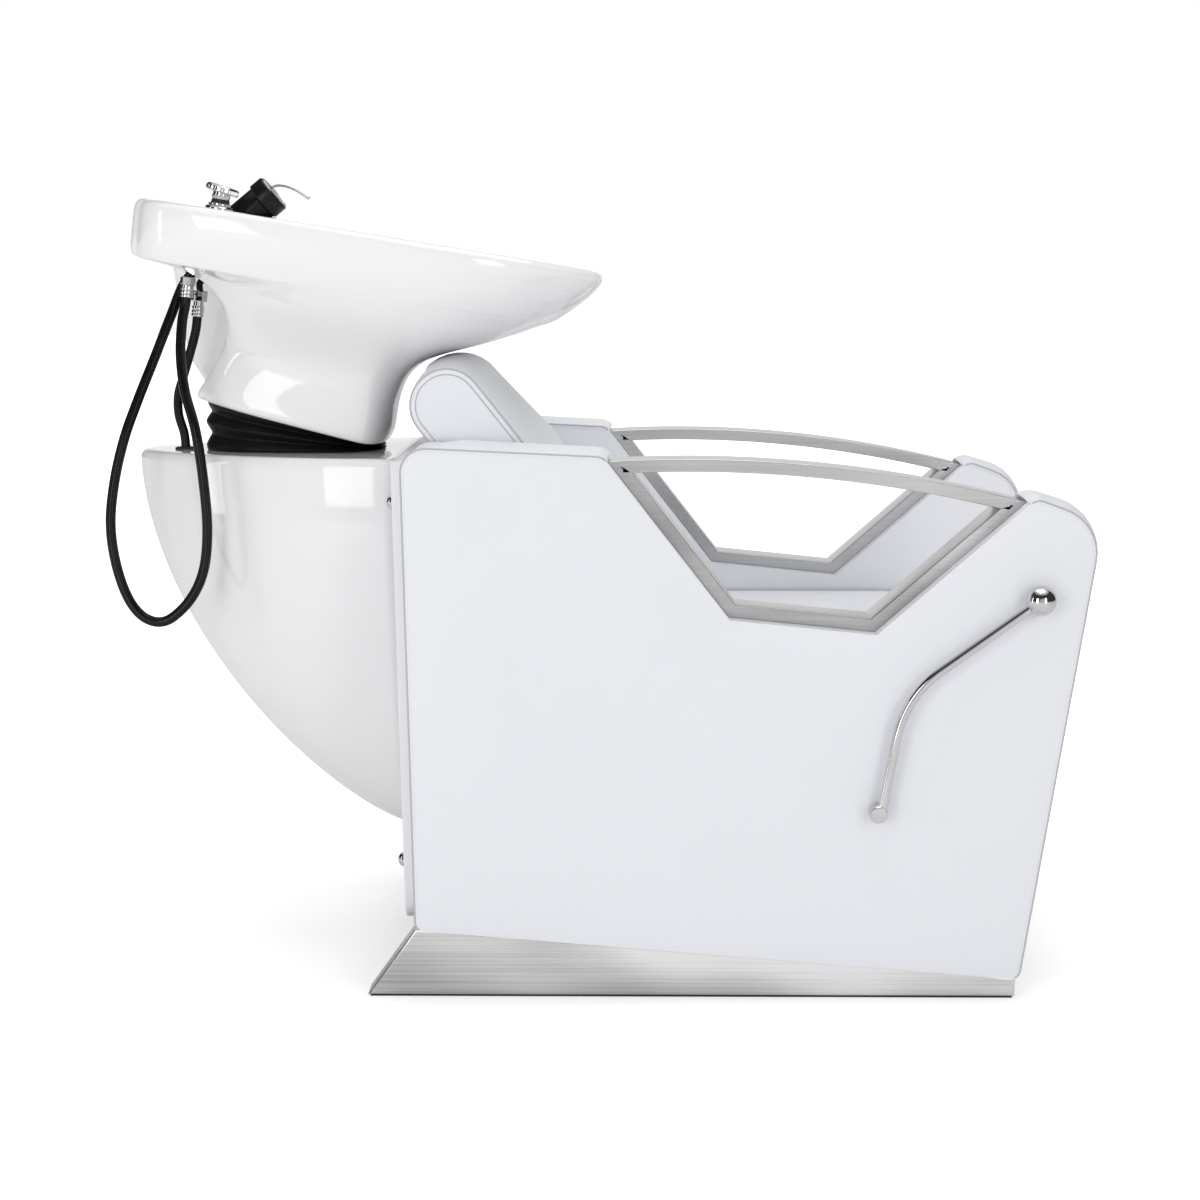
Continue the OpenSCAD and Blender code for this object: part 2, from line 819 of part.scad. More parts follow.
// One row a level: [z, fall of the foot's plane, rear x, front x, half width, bulge,
//                   recess x, recess z, share of the neck's dip]
basin_levels = [
    [2, foot_fall, -238, 4, foot_half - 7, 2.8, -238, 2, 0],
    [6, foot_fall, -246, 11, foot_half, 2.8, -244, 6, 0],
    [24, 0.08, -248, 15, foot_half, 2.8, -238, 24, 0],
    [50, 0.06, -241, 14, foot_half - 5, 2.7, -222, 50, 0],
    [80, 0.04, -231, 17, foot_half - 4, 2.6, -202, 80, 0],
    [105, 0.02, -226, 27, foot_half + 9, 2.5, -186, 105, 0],
    [128, 0, -225, 54, foot_half + 32, 2.45, -178, 128, 0],
    [150, 0, -231, 112, foot_half + 59, 2.4, -176, 152, 0],
    [170, 0, -246, 153, half_basin - 45, 2.35, -177, 180, 0],
    [apron_low - 13, 0, -270, 179, half_basin - 32, 2.3, -179, 212, 0.02],
    [apron_low - 6, 0, -293, 193, half_basin - 26, 2.3, -184, recess_top, 0.06],
    [apron_low - 3, 0, -313, 199, half_basin - 24, 2.3, -250, recess_top, 0.09],
    [apron_low - 1.5, 0, -324, 202, half_basin - 23, 2.3, rear_face + 16, recess_top, 0.11],
    [apron_low - 0.5, 0, -331, 204, half_basin - 22, 2.3, rear_face + 16, apron_low, 0.12],
    [apron_low + 0.5, 0, rear_face, 207, half_basin - 21, 2.3, rear_face, apron_low, 0.13],
    [apron_low + 18, 0, rear_face, 239, half_basin - 10, 2.3, rear_face, apron_low + 18, 0.3],
    [basin_h - 39, 0, rear_face, 265, half_basin - 4, 2.3, rear_face, basin_h - 39, 0.55],
    [basin_h - 21, 0, rear_face, 284, half_basin, 2.3, rear_face, basin_h - 21, 0.8],
    [basin_h - 7, 0, rear_face, 293, half_basin, 2.3, rear_face, basin_h - 7, 0.97],
    [basin_h, 0, rear_face + 6, 288, half_basin - 6, 2.3, rear_face + 6, basin_h, 1],
    [basin_h, 0, rear_face + 16, 280, half_basin - 13, 2.3, rear_face + 16, basin_h, 1],
    [basin_h - 3, 0, bowl_rear, 271, half_basin - basin_wall - 5, 2.3, bowl_rear, basin_h - 3, 1],
    [basin_h - 14, 0, bowl_rear + 8, 262, half_basin - basin_wall - 9, 2.3, bowl_rear + 8, basin_h - 14, 0.95],
    [basin_h - 45, 0, bowl_rear + 13, 232, half_basin - basin_wall - 16, 2.3, bowl_rear + 13, basin_h - 45, 0.55],
    [192, 0, bowl_rear + 20, 174, half_basin - basin_wall - 34, 2.3, bowl_rear + 20, 192, 0.1],
    [155, 0, bowl_rear + 34, 100, foot_half + 30, 2.2, bowl_rear + 34, 155, 0],
    [124, 0, bowl_rear + 60, 42, foot_half - 12, 2.1, bowl_rear + 60, 124, 0],
    [bowl_floor + 4, 0, bowl_rear + 76, 8, 56, 2, bowl_rear + 76, bowl_floor + 4, 0],
    [bowl_floor, 0, drain_x - seat_r, drain_x + seat_r, seat_r, 2, drain_x - seat_r, bowl_floor, 0],
    [bowl_floor, 0, drain_x - drain_r + 3, drain_x + drain_r - 3, drain_r - 3, 2, drain_x - drain_r + 3, bowl_floor, 0],
    [bowl_floor - 14, 0, drain_x - drain_r + 3, drain_x + drain_r - 3, drain_r - 3, 2, drain_x - drain_r + 3, bowl_floor - 14, 0],
    [under_floor, 0, -150, 10, 74, 2.4, -150, under_floor, 0],
    [70, 0.04, -205, 8, foot_half - 20, 2.6, -185, 70, 0],
    [36, 0.07, -222, 2, foot_half - 18, 2.7, -212, 36, 0],
    [2, foot_fall, -225, -8, foot_half - 17, 2.8, -225, 2, 0]
];
// Angles from the feet's end round to the recess; the last ones lie in the recess
ring_angles = [0, 5, 10, 15, 20, 26, 33, 41, 50, 60, 71, 83, 95, 107, 118, 128, 136, 143, 149, 154, 158, 166, 173];
recess_angle = 156;
// The deck's rear corners are squarer in plan than the bowl, from this x rearwards
deck_starts_x = -270;
rear_bulge = 2.4;
side_x = -30;

function signed_power(v, p) = (v < 0 ? -1 : 1) * pow(abs(v), p);
function ease(t) = let (c = max(0, min(1, t))) c * c * (3 - 2 * c);

// A point of one level at an angle from the feet's end, 180 at the rear
function basin_point(level, a) =
    let (
        rearward = cos(a) < 0,
        reach = rearward ? side_x - level[2] : level[3] - side_x,
        square = rear_bulge * pow(max(0, min(1, (deck_starts_x - level[2]) / (deck_starts_x - rear_face))), 2),
        bulge = rearward ? level[5] + 0.9 + square : level[5],
        x0 = side_x + reach * signed_power(cos(a), 2 / bulge),
        y = level[4] * signed_power(sin(a), 2 / bulge),
        dip = level[8] * pow(max(0, 1 - pow(y / neck_half, 2)), 1.5) * (rearward ? 0 : 1),
        x = (abs(a) > recess_angle && abs(a) < 360 - recess_angle) ? level[6] : x0 - neck_pull * dip,
        z = (abs(a) > recess_angle && abs(a) < 360 - recess_angle) ? level[7] : level[0] - neck_drop * dip
    )
    [x, y, z + level[1] * (8 - x)];

function basin_ring(level) = [
    for (a = ring_angles) from_basin(basin_point(level, a)),
    from_basin(basin_point(level, 180)),
    for (i = [len(ring_angles) - 1:-1:1]) from_basin(basin_point(level, 360 - ring_angles[i]))
];

// Deck fittings, in the basin's frame
shower_x = -246;
shower_y = -62;
mixer_x = -206;
mixer_y = 12;
guide_d = grip_d + 6;
mixer_shank_d = 32;
shank_drop = 22;

module basin() {
    color("white")
        difference() {
            ring_skin([for (i = [len(basin_levels) - 1:-1:0]) basin_ring(basin_levels[i])]);
            in_basin() {
                translate([drain_x, 0, bowl_floor - 30])
                    cylinder(r = drain_r, h = 60, $fn = fine);
                translate([shower_x, shower_y, recess_top - 10])
                    cylinder(d = guide_d + 2 * play, h = deck_t + 20, $fn = fine);
                translate([mixer_x, mixer_y, recess_top - 10])
                    cylinder(d = mixer_shank_d + 2 * play, h = deck_t + 20, $fn = fine);
            }
        }
}

// Gaiter between the foot and the shell's top

gaiter_steps = 36;
gaiter_lip = 8;
gaiter_fold = 7;

// The foot's plan, grown by d, seen from above on the shell
function gaiter_plan(d) =
    [for (i = [0:gaiter_steps - 1])
        let (a = 360 * i / gaiter_steps)
        [-402 + (118 + d) * signed_power(cos(a), 2 / 2.8), (96 + d) * signed_power(sin(a), 2 / 2.8)]];

// A ring of the gaiter: share h of the way up to the foot's tilted bottom
function gaiter_ring(h, d) =
    [for (p = gaiter_plan(d))
        let (foot = foot_under(p.x))
        [p.x, p.y, shell_top + (foot - skin - shell_top) * h]];

// Height of the foot's bottom plane over x
foot_rise = basin_lean + atan(foot_fall);
function foot_under(x) =
    let (front = from_basin([8, 0, 2]))
    front.z + (front.x - x) * tan(foot_rise);

module gaiter() {
    folds = [[0, 2], [0.12, 4], [0.3, -gaiter_fold], [0.5, 4], [0.72, -gaiter_fold], [0.9, 3], [1, 0]];
    wall = 4;
    color("dimgray")
        ring_skin([
            for (f = folds) gaiter_ring(f[0], f[1] - gaiter_fold * 0.4 - wall),
            for (i = [len(folds) - 1:-1:0]) gaiter_ring(folds[i][0], folds[i][1] - gaiter_fold * 0.4)
        ]);
}

// Tilt hinge, hidden in the foot

tilt_bx = -36;
tilt_bz = 24;
tilt_at = from_basin([tilt_bx, 0, tilt_bz]);
ear_gap = 40;
bracket_front = tilt_at.x + tilt_pin_d;
ear_plate_t = 6;
bracket_foot_low = 560;
bracket_foot_high = 640;

module tilt_bracket() {
    color("gray") {
        for (side = [-1, 1])
            difference() {
                union() {
                    ear_low = side * (ear_gap + ear_plate_t / 2) - ear_plate_t / 2;
                    plate_y(ear_low, ear_low + ear_plate_t)
                        polygon([
                            [plate_rear(bracket_foot_low) - skin, bracket_foot_low],
                            [plate_rear(bracket_foot_high) - skin, bracket_foot_high],
                            [bracket_front, bracket_foot_high + 8],
                            [bracket_front, tilt_at.z],
                            [tilt_at.x - tilt_pin_d, tilt_at.z],
                            [tilt_at.x - tilt_pin_d, bracket_foot_high - 10]
                        ]);
                    bar_y(tilt_at.x, tilt_at.z, 2 * tilt_pin_d + 2, ear_low, ear_low + ear_plate_t);
                }
                bar_y(tilt_at.x, tilt_at.z, tilt_pin_d, -ear_gap - 20, ear_gap + 20);
            }
        plate_y(-ear_gap - ear_plate_t, ear_gap + ear_plate_t)
            polygon([
                [plate_rear(bracket_foot_low) - skin, bracket_foot_low],
                [plate_rear(bracket_foot_low) - ear_plate_t, bracket_foot_low],
                [plate_rear(bracket_foot_high) - ear_plate_t, bracket_foot_high],
                [plate_rear(bracket_foot_high) - skin, bracket_foot_high]
            ]);
    }
}

module tilt_pins() {
    color("silver")
        for (side = [0, 1])
            mirror([0, side, 0])
                bar_y(tilt_at.x, tilt_at.z, tilt_pin_d, -ear_gap - ear_plate_t - 2, -carrier_lug_y + 2);
}

carrier_t = 5;
carrier_lug_y = ear_gap - gap - carrier_t;

module basin_carrier() {
    hollow_top = 60;
    color("gray")
        in_basin()
            difference() {
                union() {
                    translate([-150, -carrier_lug_y - carrier_t, hollow_top - carrier_t])
                        cube([150, 2 * (carrier_lug_y + carrier_t), carrier_t]);
                    for (side = [-1, 1]) {
                        y_low = side * (carrier_lug_y + carrier_t / 2) - carrier_t / 2;
                        plate_y(y_low, y_low + carrier_t)
                            polygon([
                                [tilt_bx - tilt_pin_d - 2, tilt_bz],
                                [tilt_bx + tilt_pin_d + 2, tilt_bz],
                                [tilt_bx + 26, hollow_top],
                                [tilt_bx - 36, hollow_top]
                            ]);
                        bar_y(tilt_bx, tilt_bz, 2 * tilt_pin_d + 4, y_low, y_low + carrier_t);
                    }
                    translate([-132, -carrier_lug_y + 4, hollow_top])
                        cube([20, 2 * carrier_lug_y - 8, under_floor - hollow_top - skin]);
                }
                bar_y(tilt_bx, tilt_bz, tilt_pin_d + 2 * play, -ear_gap, ear_gap);
                translate([drain_x, 0, hollow_top - 20])
                    cylinder(r = drain_r + 8, h = 40, $fn = fine);
            }
}

strainer_len = 30;

module drain_strainer() {
    color("silver")
        in_basin()
            translate([drain_x, 0, bowl_floor])
                difference() {
                    union() {
                        cylinder(r = drain_r + 9, h = 3, $fn = fine);
                        translate([0, 0, -strainer_len])
                            cylinder(r = drain_r - 2, h = strainer_len, $fn = fine);
                    }
                    translate([0, 0, -strainer_len - 1])
                        cylinder(r = drain_r - 5, h = strainer_len + 1, $fn = fine);
                    for (k = [0:5])
                        rotate([0, 0, 60 * k])
                            translate([drain_r - 11, 0, -1])
                                cylinder(r = 3.5, h = 6, $fn = fine);
                }
}

tail_low = 26;
tail_shelf = bowl_floor - strainer_len - 4;

module drain_tail() {
    color("gray")
        in_basin()
            translate([drain_x, 0, 0])
                difference() {
                    union() {
                        translate([0, 0, tail_shelf])
                            cylinder(r = drain_r + 6, h = under_floor - tail_shelf, $fn = fine);
                        translate([0, 0, tail_low])
                            cylinder(r = waste_d / 2 - 1, h = tail_shelf - tail_low, $fn = fine);
                    }
                    translate([0, 0, tail_low - 1])
                        cylinder(r = drain_r - 6, h = under_floor, $fn = fine);
                    translate([0, 0, bowl_floor - strainer_len])
                        cylinder(r = drain_r - 2 + play, h = strainer_len, $fn = fine);
                }
}

// Waste pipe: down inside the shell, through the rear plate and down to the floor
waste_bend = 45;
waste_x = -345;
waste_top = 560;
waste_out_x = -60;
waste_low = 45;
waste_wall = 3;
waste_end = 60;

module waste_run(d) {
    translate([waste_x, 0, waste_hole_z + waste_bend])
        cylinder(d = d, h = waste_top - waste_hole_z - waste_bend, $fn = fine);
    translate([waste_x + waste_bend, 0, waste_hole_z + waste_bend])
        rotate([90, 0, 0])
            rotate([0, 0, 180])
                rotate_extrude(angle = 90, $fn = fine)
                    translate([waste_bend, 0])
                        circle(d = d, $fn = fine);
    translate([waste_x + waste_bend, 0, waste_hole_z])
        rotate([0, 90, 0])
            cylinder(d = d, h = waste_out_x - waste_x - 2 * waste_bend, $fn = fine);
    translate([waste_out_x - waste_bend, 0, waste_hole_z - waste_bend])
        rotate([90, 0, 0])
            rotate_extrude(angle = 90, $fn = fine)
                translate([waste_bend, 0])
                    circle(d = d, $fn = fine);
    translate([waste_out_x, 0, waste_low])
        cylinder(d = d, h = waste_hole_z - waste_bend - waste_low, $fn = fine);
}

module waste_pipe() {
    color("gray") {
        difference() {
            union() {
                waste_run(waste_d);
                translate([waste_out_x, 0, waste_low + waste_end])
                    cylinder(d = waste_d + 6, h = 6, $fn = fine);
            }
            waste_run(waste_d - 2 * waste_wall);
            translate([waste_x, 0, waste_top - 1])
                cylinder(d = waste_d - 2 * waste_wall, h = 2, $fn = fine);
            translate([waste_out_x, 0, waste_low - 1])
                cylinder(d = waste_d - 2 * waste_wall, h = 2, $fn = fine);
        }
    }
}

tail_end = from_basin([drain_x, 0, tail_low]) - skin * basin_up;
waste_route = [
    [waste_x, 0, waste_top + skin],
    [waste_x, 0, waste_top + 40],
    [(waste_x + tail_end.x) / 2 - 4, 0, waste_top + 85],
    tail_end - 30 * basin_up,
    tail_end
];

module waste_hose() {
    color("dimgray")
        cord(waste_route, waste_d - 4, 12, 3, [0, 0, 1], basin_up);
}

// Mixer on the deck

mixer_base_h = 16;

module on_mixer_axis() {
    in_basin()
        translate([mixer_x - 8, mixer_y, mixer_up])
            rotate([0, 90 - mixer_rise - basin_lean, 0])
                children();
}

mixer_neck = 14.5;
cap_h = 21.5;
stud_d = 14;
stud_h = 6;
slot_w = 8;
lever_pin_d = 3;
lever_eye_d = 9;
// The lever's pin: its height along the mixer's axis and its offset from it
lever_pin_h = 28;
lever_pin_off = 6;

module mixer_body() {
    color("dimgray") {
        in_basin()
            translate([mixer_x, mixer_y, basin_h]) {
                cylinder(d = mixer_d - 6, h = 1, $fn = fine);
                translate([0, 0, -deck_t - shank_drop])
                    cylinder(d = mixer_shank_d, h = deck_t + shank_drop, $fn = fine);
            }
        difference() {
            on_mixer_axis()
                translate([0, 0, -20]) {
                    cylinder(d = mixer_d - 6, h = 20 + mixer_neck, $fn = fine);
                    cylinder(d = stud_d, h = 20 + mixer_neck + stud_h, $fn = fine);
                }
            in_basin()
                translate([mixer_x - 60, mixer_y - 60, basin_h - 80])
                    cube([120, 120, 80]);
        }
    }
}

module mixer_nut() {
    color("silver")
        in_basin()
            translate([mixer_x, mixer_y, recess_top - 12])
                difference() {
                    cylinder(d = mixer_shank_d + 12, h = 12, $fn = 6);
                    translate([0, 0, -1])
                        cylinder(d = mixer_shank_d + 2 * play, h = 14, $fn = fine);
                }
}

module mixer_cap() {
    color("black")
        on_mixer_axis() {
            difference() {
                translate([0, 0, mixer_neck + air])
                    rotate_extrude($fn = fine)
                        polygon([
                            [0, 0],
                            [mixer_d / 2 - 2, 0],
                            each corner([mixer_d / 2, 0], [mixer_d / 2, cap_h], [0, cap_h], 3, 4),
                            [0, cap_h]
                        ]);
                translate([0, 0, mixer_neck])
                    cylinder(d = stud_d + 2 * play, h = stud_h + air, $fn = fine);
                translate([-mixer_d / 2 - 1, -slot_w / 2, lever_pin_h - lever_eye_d / 2 - gap])
                    cube([mixer_d / 2 + 1 - lever_pin_off + lever_eye_d / 2 + gap, slot_w, cap_h]);
            }
            translate([-lever_pin_off, slot_w / 2 + 2, lever_pin_h])
                rotate([90, 0, 0])
                    cylinder(d = lever_pin_d, h = slot_w + 4, $fn = fine);
        }
}

// Chrome lever: a thin arched rod on the pin in the cap's slot
mixer_lever_d = 5;
mixer_up = basin_h + 7;
mixer_foot = from_basin([mixer_x - 8, mixer_y, mixer_up]);
lever_pin_at = [
    mixer_foot.x + lever_pin_h * cos(mixer_rise) - lever_pin_off * sin(mixer_rise),
    mixer_y,
    mixer_foot.z + lever_pin_h * sin(mixer_rise) + lever_pin_off * cos(mixer_rise)
];
mixer_lever_route = [
    lever_pin_at, lever_pin_at + [6, 0, 6], lever_pin_at + [15, 0, 9.5], lever_pin_at + [28, 0, 8],
    lever_pin_at + [42, 0, 2], lever_pin_at + [55, 0, -7]
];

module mixer_lever() {
    color("silver")
        difference() {
            union() {
                cord(mixer_lever_route, mixer_lever_d, 10, 3);
                bar_y(lever_pin_at.x, lever_pin_at.z, lever_eye_d, mixer_y - slot_w / 2 + 0.5, mixer_y + slot_w / 2 - 0.5);
            }
            bar_y(lever_pin_at.x, lever_pin_at.z, lever_pin_d + 2 * play, mixer_y - slot_w, mixer_y + slot_w);
        }
}

// Shower docked in its guide

module at_shower() {
    in_basin()
        translate([shower_x, shower_y, 0])
            children();
}

guide_flange = 4;

module shower_guide() {
    color("silver")
        at_shower()
            difference() {
                union() {
                    translate([0, 0, basin_h])
                        cylinder(d = guide_d + 6, h = guide_flange, $fn = fine);
                    translate([0, 0, recess_top - 16])
                        cylinder(d = guide_d, h = deck_t + 16, $fn = fine);
                }
                translate([0, 0, recess_top - 17])
                    cylinder(d = grip_d + 2 * play, h = deck_t + 30, $fn = fine);
            }
}

module guide_nut() {
    color("silver")
        at_shower()
            translate([0, 0, recess_top - 12])
                difference() {
                    cylinder(d = guide_d + 10, h = 12, $fn = 6);
                    translate([0, 0, -1])
                        cylinder(d = guide_d + 2 * play, h = 14, $fn = fine);
                }
}

grip_low = recess_top - 14;
grip_high = basin_h + 18;

module shower_grip() {
    color("silver")
        at_shower() {
            translate([0, 0, grip_low])
                cylinder(d = grip_d, h = grip_high - grip_low, $fn = fine);
            translate([0, 0, basin_h + guide_flange + air])
                cylinder(d = grip_d + 5, h = 3, $fn = fine);
        }
}

spray_tilt = 9;

module shower_head() {
    color("silver")
        at_shower()
            translate([0, 0, grip_high + spray_d / 2 * sin(spray_tilt)])
                difference() {
                    union() {
                        rotate([0, spray_tilt, 0])
                            cylinder(d = spray_d, h = spray_t, $fn = fine);
                        translate([0, 0, -spray_d / 2 * sin(spray_tilt)])
                            cylinder(d = grip_d - 3, h = spray_d / 2 * sin(spray_tilt) + spray_t / 2, $fn = fine);
                    }
                    for (k = [0:11])
                        rotate([0, spray_tilt, 0])
                            rotate([0, 0, 30 * k])
                                translate([spray_d * 0.32, 0, spray_t - 1.5])
                                    cylinder(d = 2.4, h = 3, $fn = fine);
                }
}

// Ferrules under the deck

outlet_at = [-527, -105, 868];
supply_at = [-524, -48, 842];
ferrule_lean = 7;

// A point on a ferrule's axis, a height above its lower end
function up_ferrule(at, h) = at + h * [sin(ferrule_lean), 0, cos(ferrule_lean)];
outlet_len = 26;
supply_len = 34;

module outlet_ferrule() {
    color("silver")
        translate(outlet_at)
            rotate([0, ferrule_lean, 0]) {
                cylinder(d = hose_d + 4, h = 16, $fn = fine);
                translate([0, 0, 16])
                    cylinder(d = 20, h = outlet_len - 16, $fn = 6);
            }
}

module supply_ferrule() {
    color("silver")
        translate(supply_at)
            rotate([0, ferrule_lean, 0]) {
                cylinder(d = supply_d + 4, h = 14, $fn = fine);
                translate([0, 0, 14])
                    cylinder(d = supply_d + 1, h = 6, $fn = fine);
                translate([0, 0, 20])
                    cylinder(d = 21, h = supply_len - 20, $fn = 6);
            }
}

// Routes, from one fitting to the other
tail_d = 9;
ferrule_up = [sin(ferrule_lean), 0, cos(ferrule_lean)];
tail_from = from_basin([mixer_x, mixer_y, recess_top - shank_drop]) - skin * basin_up;
outlet_top = up_ferrule(outlet_at, outlet_len + skin);
supply_top = up_ferrule(supply_at, supply_len + skin);
outlet_tail_route = [
    tail_from + [0, 8, 0], tail_from + [0, 8, 0] - 10 * basin_up, [-478, 6, 914], [-504, -16, 924],
    [-530, -56, 932], [-529, -92, 926], outlet_top + 14 * ferrule_up, outlet_top
];
supply_tail_route = [
    tail_from - [0, 8, 0], tail_from - [0, 8, 0] - 12 * basin_up, [-478, -14, 896],
    [-502, -38, 894], supply_top + 12 * ferrule_up, supply_top
];
hose_start = from_basin([shower_x, shower_y, grip_low - skin]);
hose_end = outlet_at - skin * ferrule_up;
hose_route = [
    hose_start, [-501, -62, 930], [-515, -66, 910], [-534, -82, 885], [-548, -99, 846],
    [-568, -117, 790], [-587, -134, 738], [-603, -149, 689], [-615, -160, 634], [-620, -167, 579],
    [-613, -172, 527], [-597, -176, 483], [-575, -178, 459], [-548, -178, 457], [-518, -178, 484],
    [-500, -178, 522], [-494, -178, 574], [-498, -176, 638], [-508, -168, 701], [-524, -148, 750],
    [-532, -128, 795], [-532, -113, 835], [-529, -107, 855], hose_end
];
supply_start = supply_at - skin * ferrule_up;
supply_end = [grommet_x, grommet_y, shell_top + grommet_rim + skin];
supply_route = [
    supply_start, [-527, -48, 822], [-535, -46, 795], [-545, -42, 765], [-554, -37, 738],
    [-555, -32, 712], [-549, -30, 688], supply_end
];

module mixer_tails() {
    color("gray") {
        cord(outlet_tail_route, tail_d, 8, 2, -basin_up, -ferrule_up);
        cord(supply_tail_route, tail_d, 8, 2, -basin_up, -ferrule_up);
    }
}

module shower_hose() {
    color("black")
        cord(hose_route, hose_d, 10, 2, -basin_up, ferrule_up);
}

module supply_hose() {
    color("black")
        cord(supply_route, supply_d, 10, 2, -ferrule_up, [0, 0, -1]);
}

// Leg rest

// The leg rest's own frame: s down along its arms from the hinge, t forwards
function leg_point(s, t) =
    [leg_x - s * sin(front_lean) + t * cos(front_lean), leg_h - s * cos(front_lean) - t * sin(front_lean)];

leg_face = 14;
leg_rear = leg_face - leg_pad_t;
leg_over = 12;
leg_board_t = board_t + 2;
leg_back = leg_rear - skin;
leg_corners = [
    [each leg_point(leg_len, leg_rear), 4, 0],
    [each leg_point(leg_len, leg_face), 16, 0.6],
    [each leg_point(leg_len / 2, leg_face), 0, 1],
    [each leg_point(-leg_over, leg_face), 14, 0.3],
    [each leg_point(-leg_over, leg_rear), 4, 0]
];

module legrest_pad() {
    color("white")
        swollen_slab(
            rounded(leg_corners, cushion_steps), swells(leg_corners, cushion_steps),
            leg_point(leg_len / 2, (leg_face + leg_rear) / 2), 0, leg_w / 2, 8, 10, 1
        );
}

board_span_low = leg_len - 14;

module legrest_board() {
    color("burlywood")
        plate_y(-arm_y, arm_y)
            polygon([
                leg_point(20, leg_back),
                leg_point(20, leg_back - leg_board_t),
                leg_point(board_span_low, leg_back - leg_board_t),
                leg_point(board_span_low, leg_back)
            ]);
}

stub_d = 12;
link_pin_d = 10;

module legrest_arm() {
    difference() {
        union() {
            bar_y(leg_x, leg_h, 2 * stub_d, -arm_y - link_t, -arm_y);
            plate_y(-arm_y - link_t, -arm_y)
                polygon([
                    leg_point(0, -stub_d),
                    leg_point(30, leg_rear - leg_board_t),
                    leg_point(board_span_low - 60, leg_rear - leg_board_t),
                    leg_point(board_span_low - 60, leg_rear),
                    leg_point(crank_len + 16, stub_d),
                    leg_point(0, stub_d)
                ]);
        }
        bar_y(leg_x, leg_h, stub_d + 2 * play, -arm_y - link_t - 1, -arm_y + 1);
    }
}

// The near arm also carries the pin that the push link turns on
module legrest_arms() {
    pin = leg_point(crank_len, 0);
    color("gray") {
        legrest_arm();
        bar_y(pin.x, pin.y, link_pin_d, -link_y - link_t, -arm_y - link_t + 1);
        mirror([0, 1, 0])
            legrest_arm();
    }
}

// Stub pins in ear plates on the side panels
module legrest_pins() {
    color("silver")
        for (side = [0, 1])
            mirror([0, side, 0]) {
                bar_y(leg_x, leg_h, stub_d, -half_seat, -arm_y);
                bar_y(leg_x, leg_h, 3 * stub_d, -half_seat, -half_seat + ear_t);
            }
}

// Side lever

boss_d = 22;
bush_flange = 2;
boss_cap = 4;
lever_y = half_body + bush_flange + gap + ball_d / 2;
boss_near = half_body + bush_flange + gap;
boss_far = lever_y + lever_d / 2 + gap;

module lever_bush() {
    color("silver")
        difference() {
            union() {
                bar_y(lever_x, lever_h, bush_d, -half_body, -half_seat);
                bar_y(lever_x, lever_h, bush_d + 6, -half_body - bush_flange, -half_body);
            }
            bar_y(lever_x, lever_h, shaft_d + 2 * play, -half_body - 3, -half_seat + 1);
        }
}

module lever_shaft() {
    color("silver")
        bar_y(lever_x, lever_h, shaft_d, -boss_far + boss_cap, -crank_y);
}

link_bar_w = link_w - 2;

// Crank on the shaft's inner end, with the pin that the push link hooks on
function crank_point(s) = [lever_x - s * sin(front_lean), lever_h - s * cos(front_lean)];

module lever_crank() {
    pin = crank_point(crank_len);
    color("gray") {
        difference() {
            union() {
                bar_y(lever_x, lever_h, shaft_d + 12, -crank_y - link_t, -crank_y);
                bar_y(pin.x, pin.y, link_w, -crank_y - link_t, -crank_y);
                translate([lever_x, 0, lever_h])
                    rotate([0, front_lean, 0])
                        translate([-link_bar_w / 2, -crank_y - link_t, -crank_len])
                            cube([link_bar_w, link_t, crank_len]);
            }
            bar_y(lever_x, lever_h, shaft_d, -crank_y - link_t - 1, -crank_y + 1);
        }
        bar_y(pin.x, pin.y, link_pin_d, -crank_y - 1, -link_y);
    }
}

link_slack = 0.3;

module push_link() {
    low = crank_point(crank_len);
    high = leg_point(crank_len, 0);
    run = norm(high - low);
    rise = atan2(high.y - low.y, high.x - low.x);
    color("gray")
        difference() {
            union() {
                bar_y(low.x, low.y, link_w, -link_y - link_t, -link_y);
                bar_y(high.x, high.y, link_w, -link_y - link_t, -link_y);
                translate([low.x, 0, low.y])
                    rotate([0, -rise, 0])
                        translate([0, -link_y - link_t, -link_bar_w / 2])
                            cube([run, link_t, link_bar_w]);
            }
            bar_y(low.x, low.y, link_pin_d + 2 * link_slack, -link_y - link_t - 1, -link_y + 1);
            bar_y(high.x, high.y, link_pin_d + 2 * play, -link_y - link_t - 1, -link_y + 1);
        }
}

// The rod: straight up from the boss, a bend, and straight on to the ball
rod_start = 80;
rod_end = 36;
rod_r = 130;
rod_up = 95;
rod_on = 147;
rod_foot = [lever_x + 4, lever_h];
rod_bend = rod_foot + rod_up * [cos(rod_start), sin(rod_start)];
bend_mid = rod_bend + rod_r * [sin(rod_start), -cos(rod_start)];
rod_turn = bend_mid + rod_r * [-sin(rod_end), cos(rod_end)];
ball_at = rod_turn + rod_on * [cos(rod_end), sin(rod_end)];
rod_steps = 14;
rod_route = [
    [rod_foot.x, -lever_y, rod_foot.y],
    for (i = [0:rod_steps])
        let (a = rod_start + (rod_end - rod_start) * i / rod_steps)
        [bend_mid.x - rod_r * sin(a), -lever_y, bend_mid.y + rod_r * cos(a)],
    [ball_at.x - ball_d * 0.46 * cos(rod_end), -lever_y, ball_at.y - ball_d * 0.46 * sin(rod_end)]
];

module lever_rod() {
    color("silver")
        difference() {
            union() {
                cord(rod_route, lever_d, 16, 1);
                bar_y(lever_x, lever_h, boss_d, -boss_far, -boss_near);
            }
            bar_y(lever_x, lever_h, shaft_d, -boss_far + boss_cap, -half_body);
        }
}

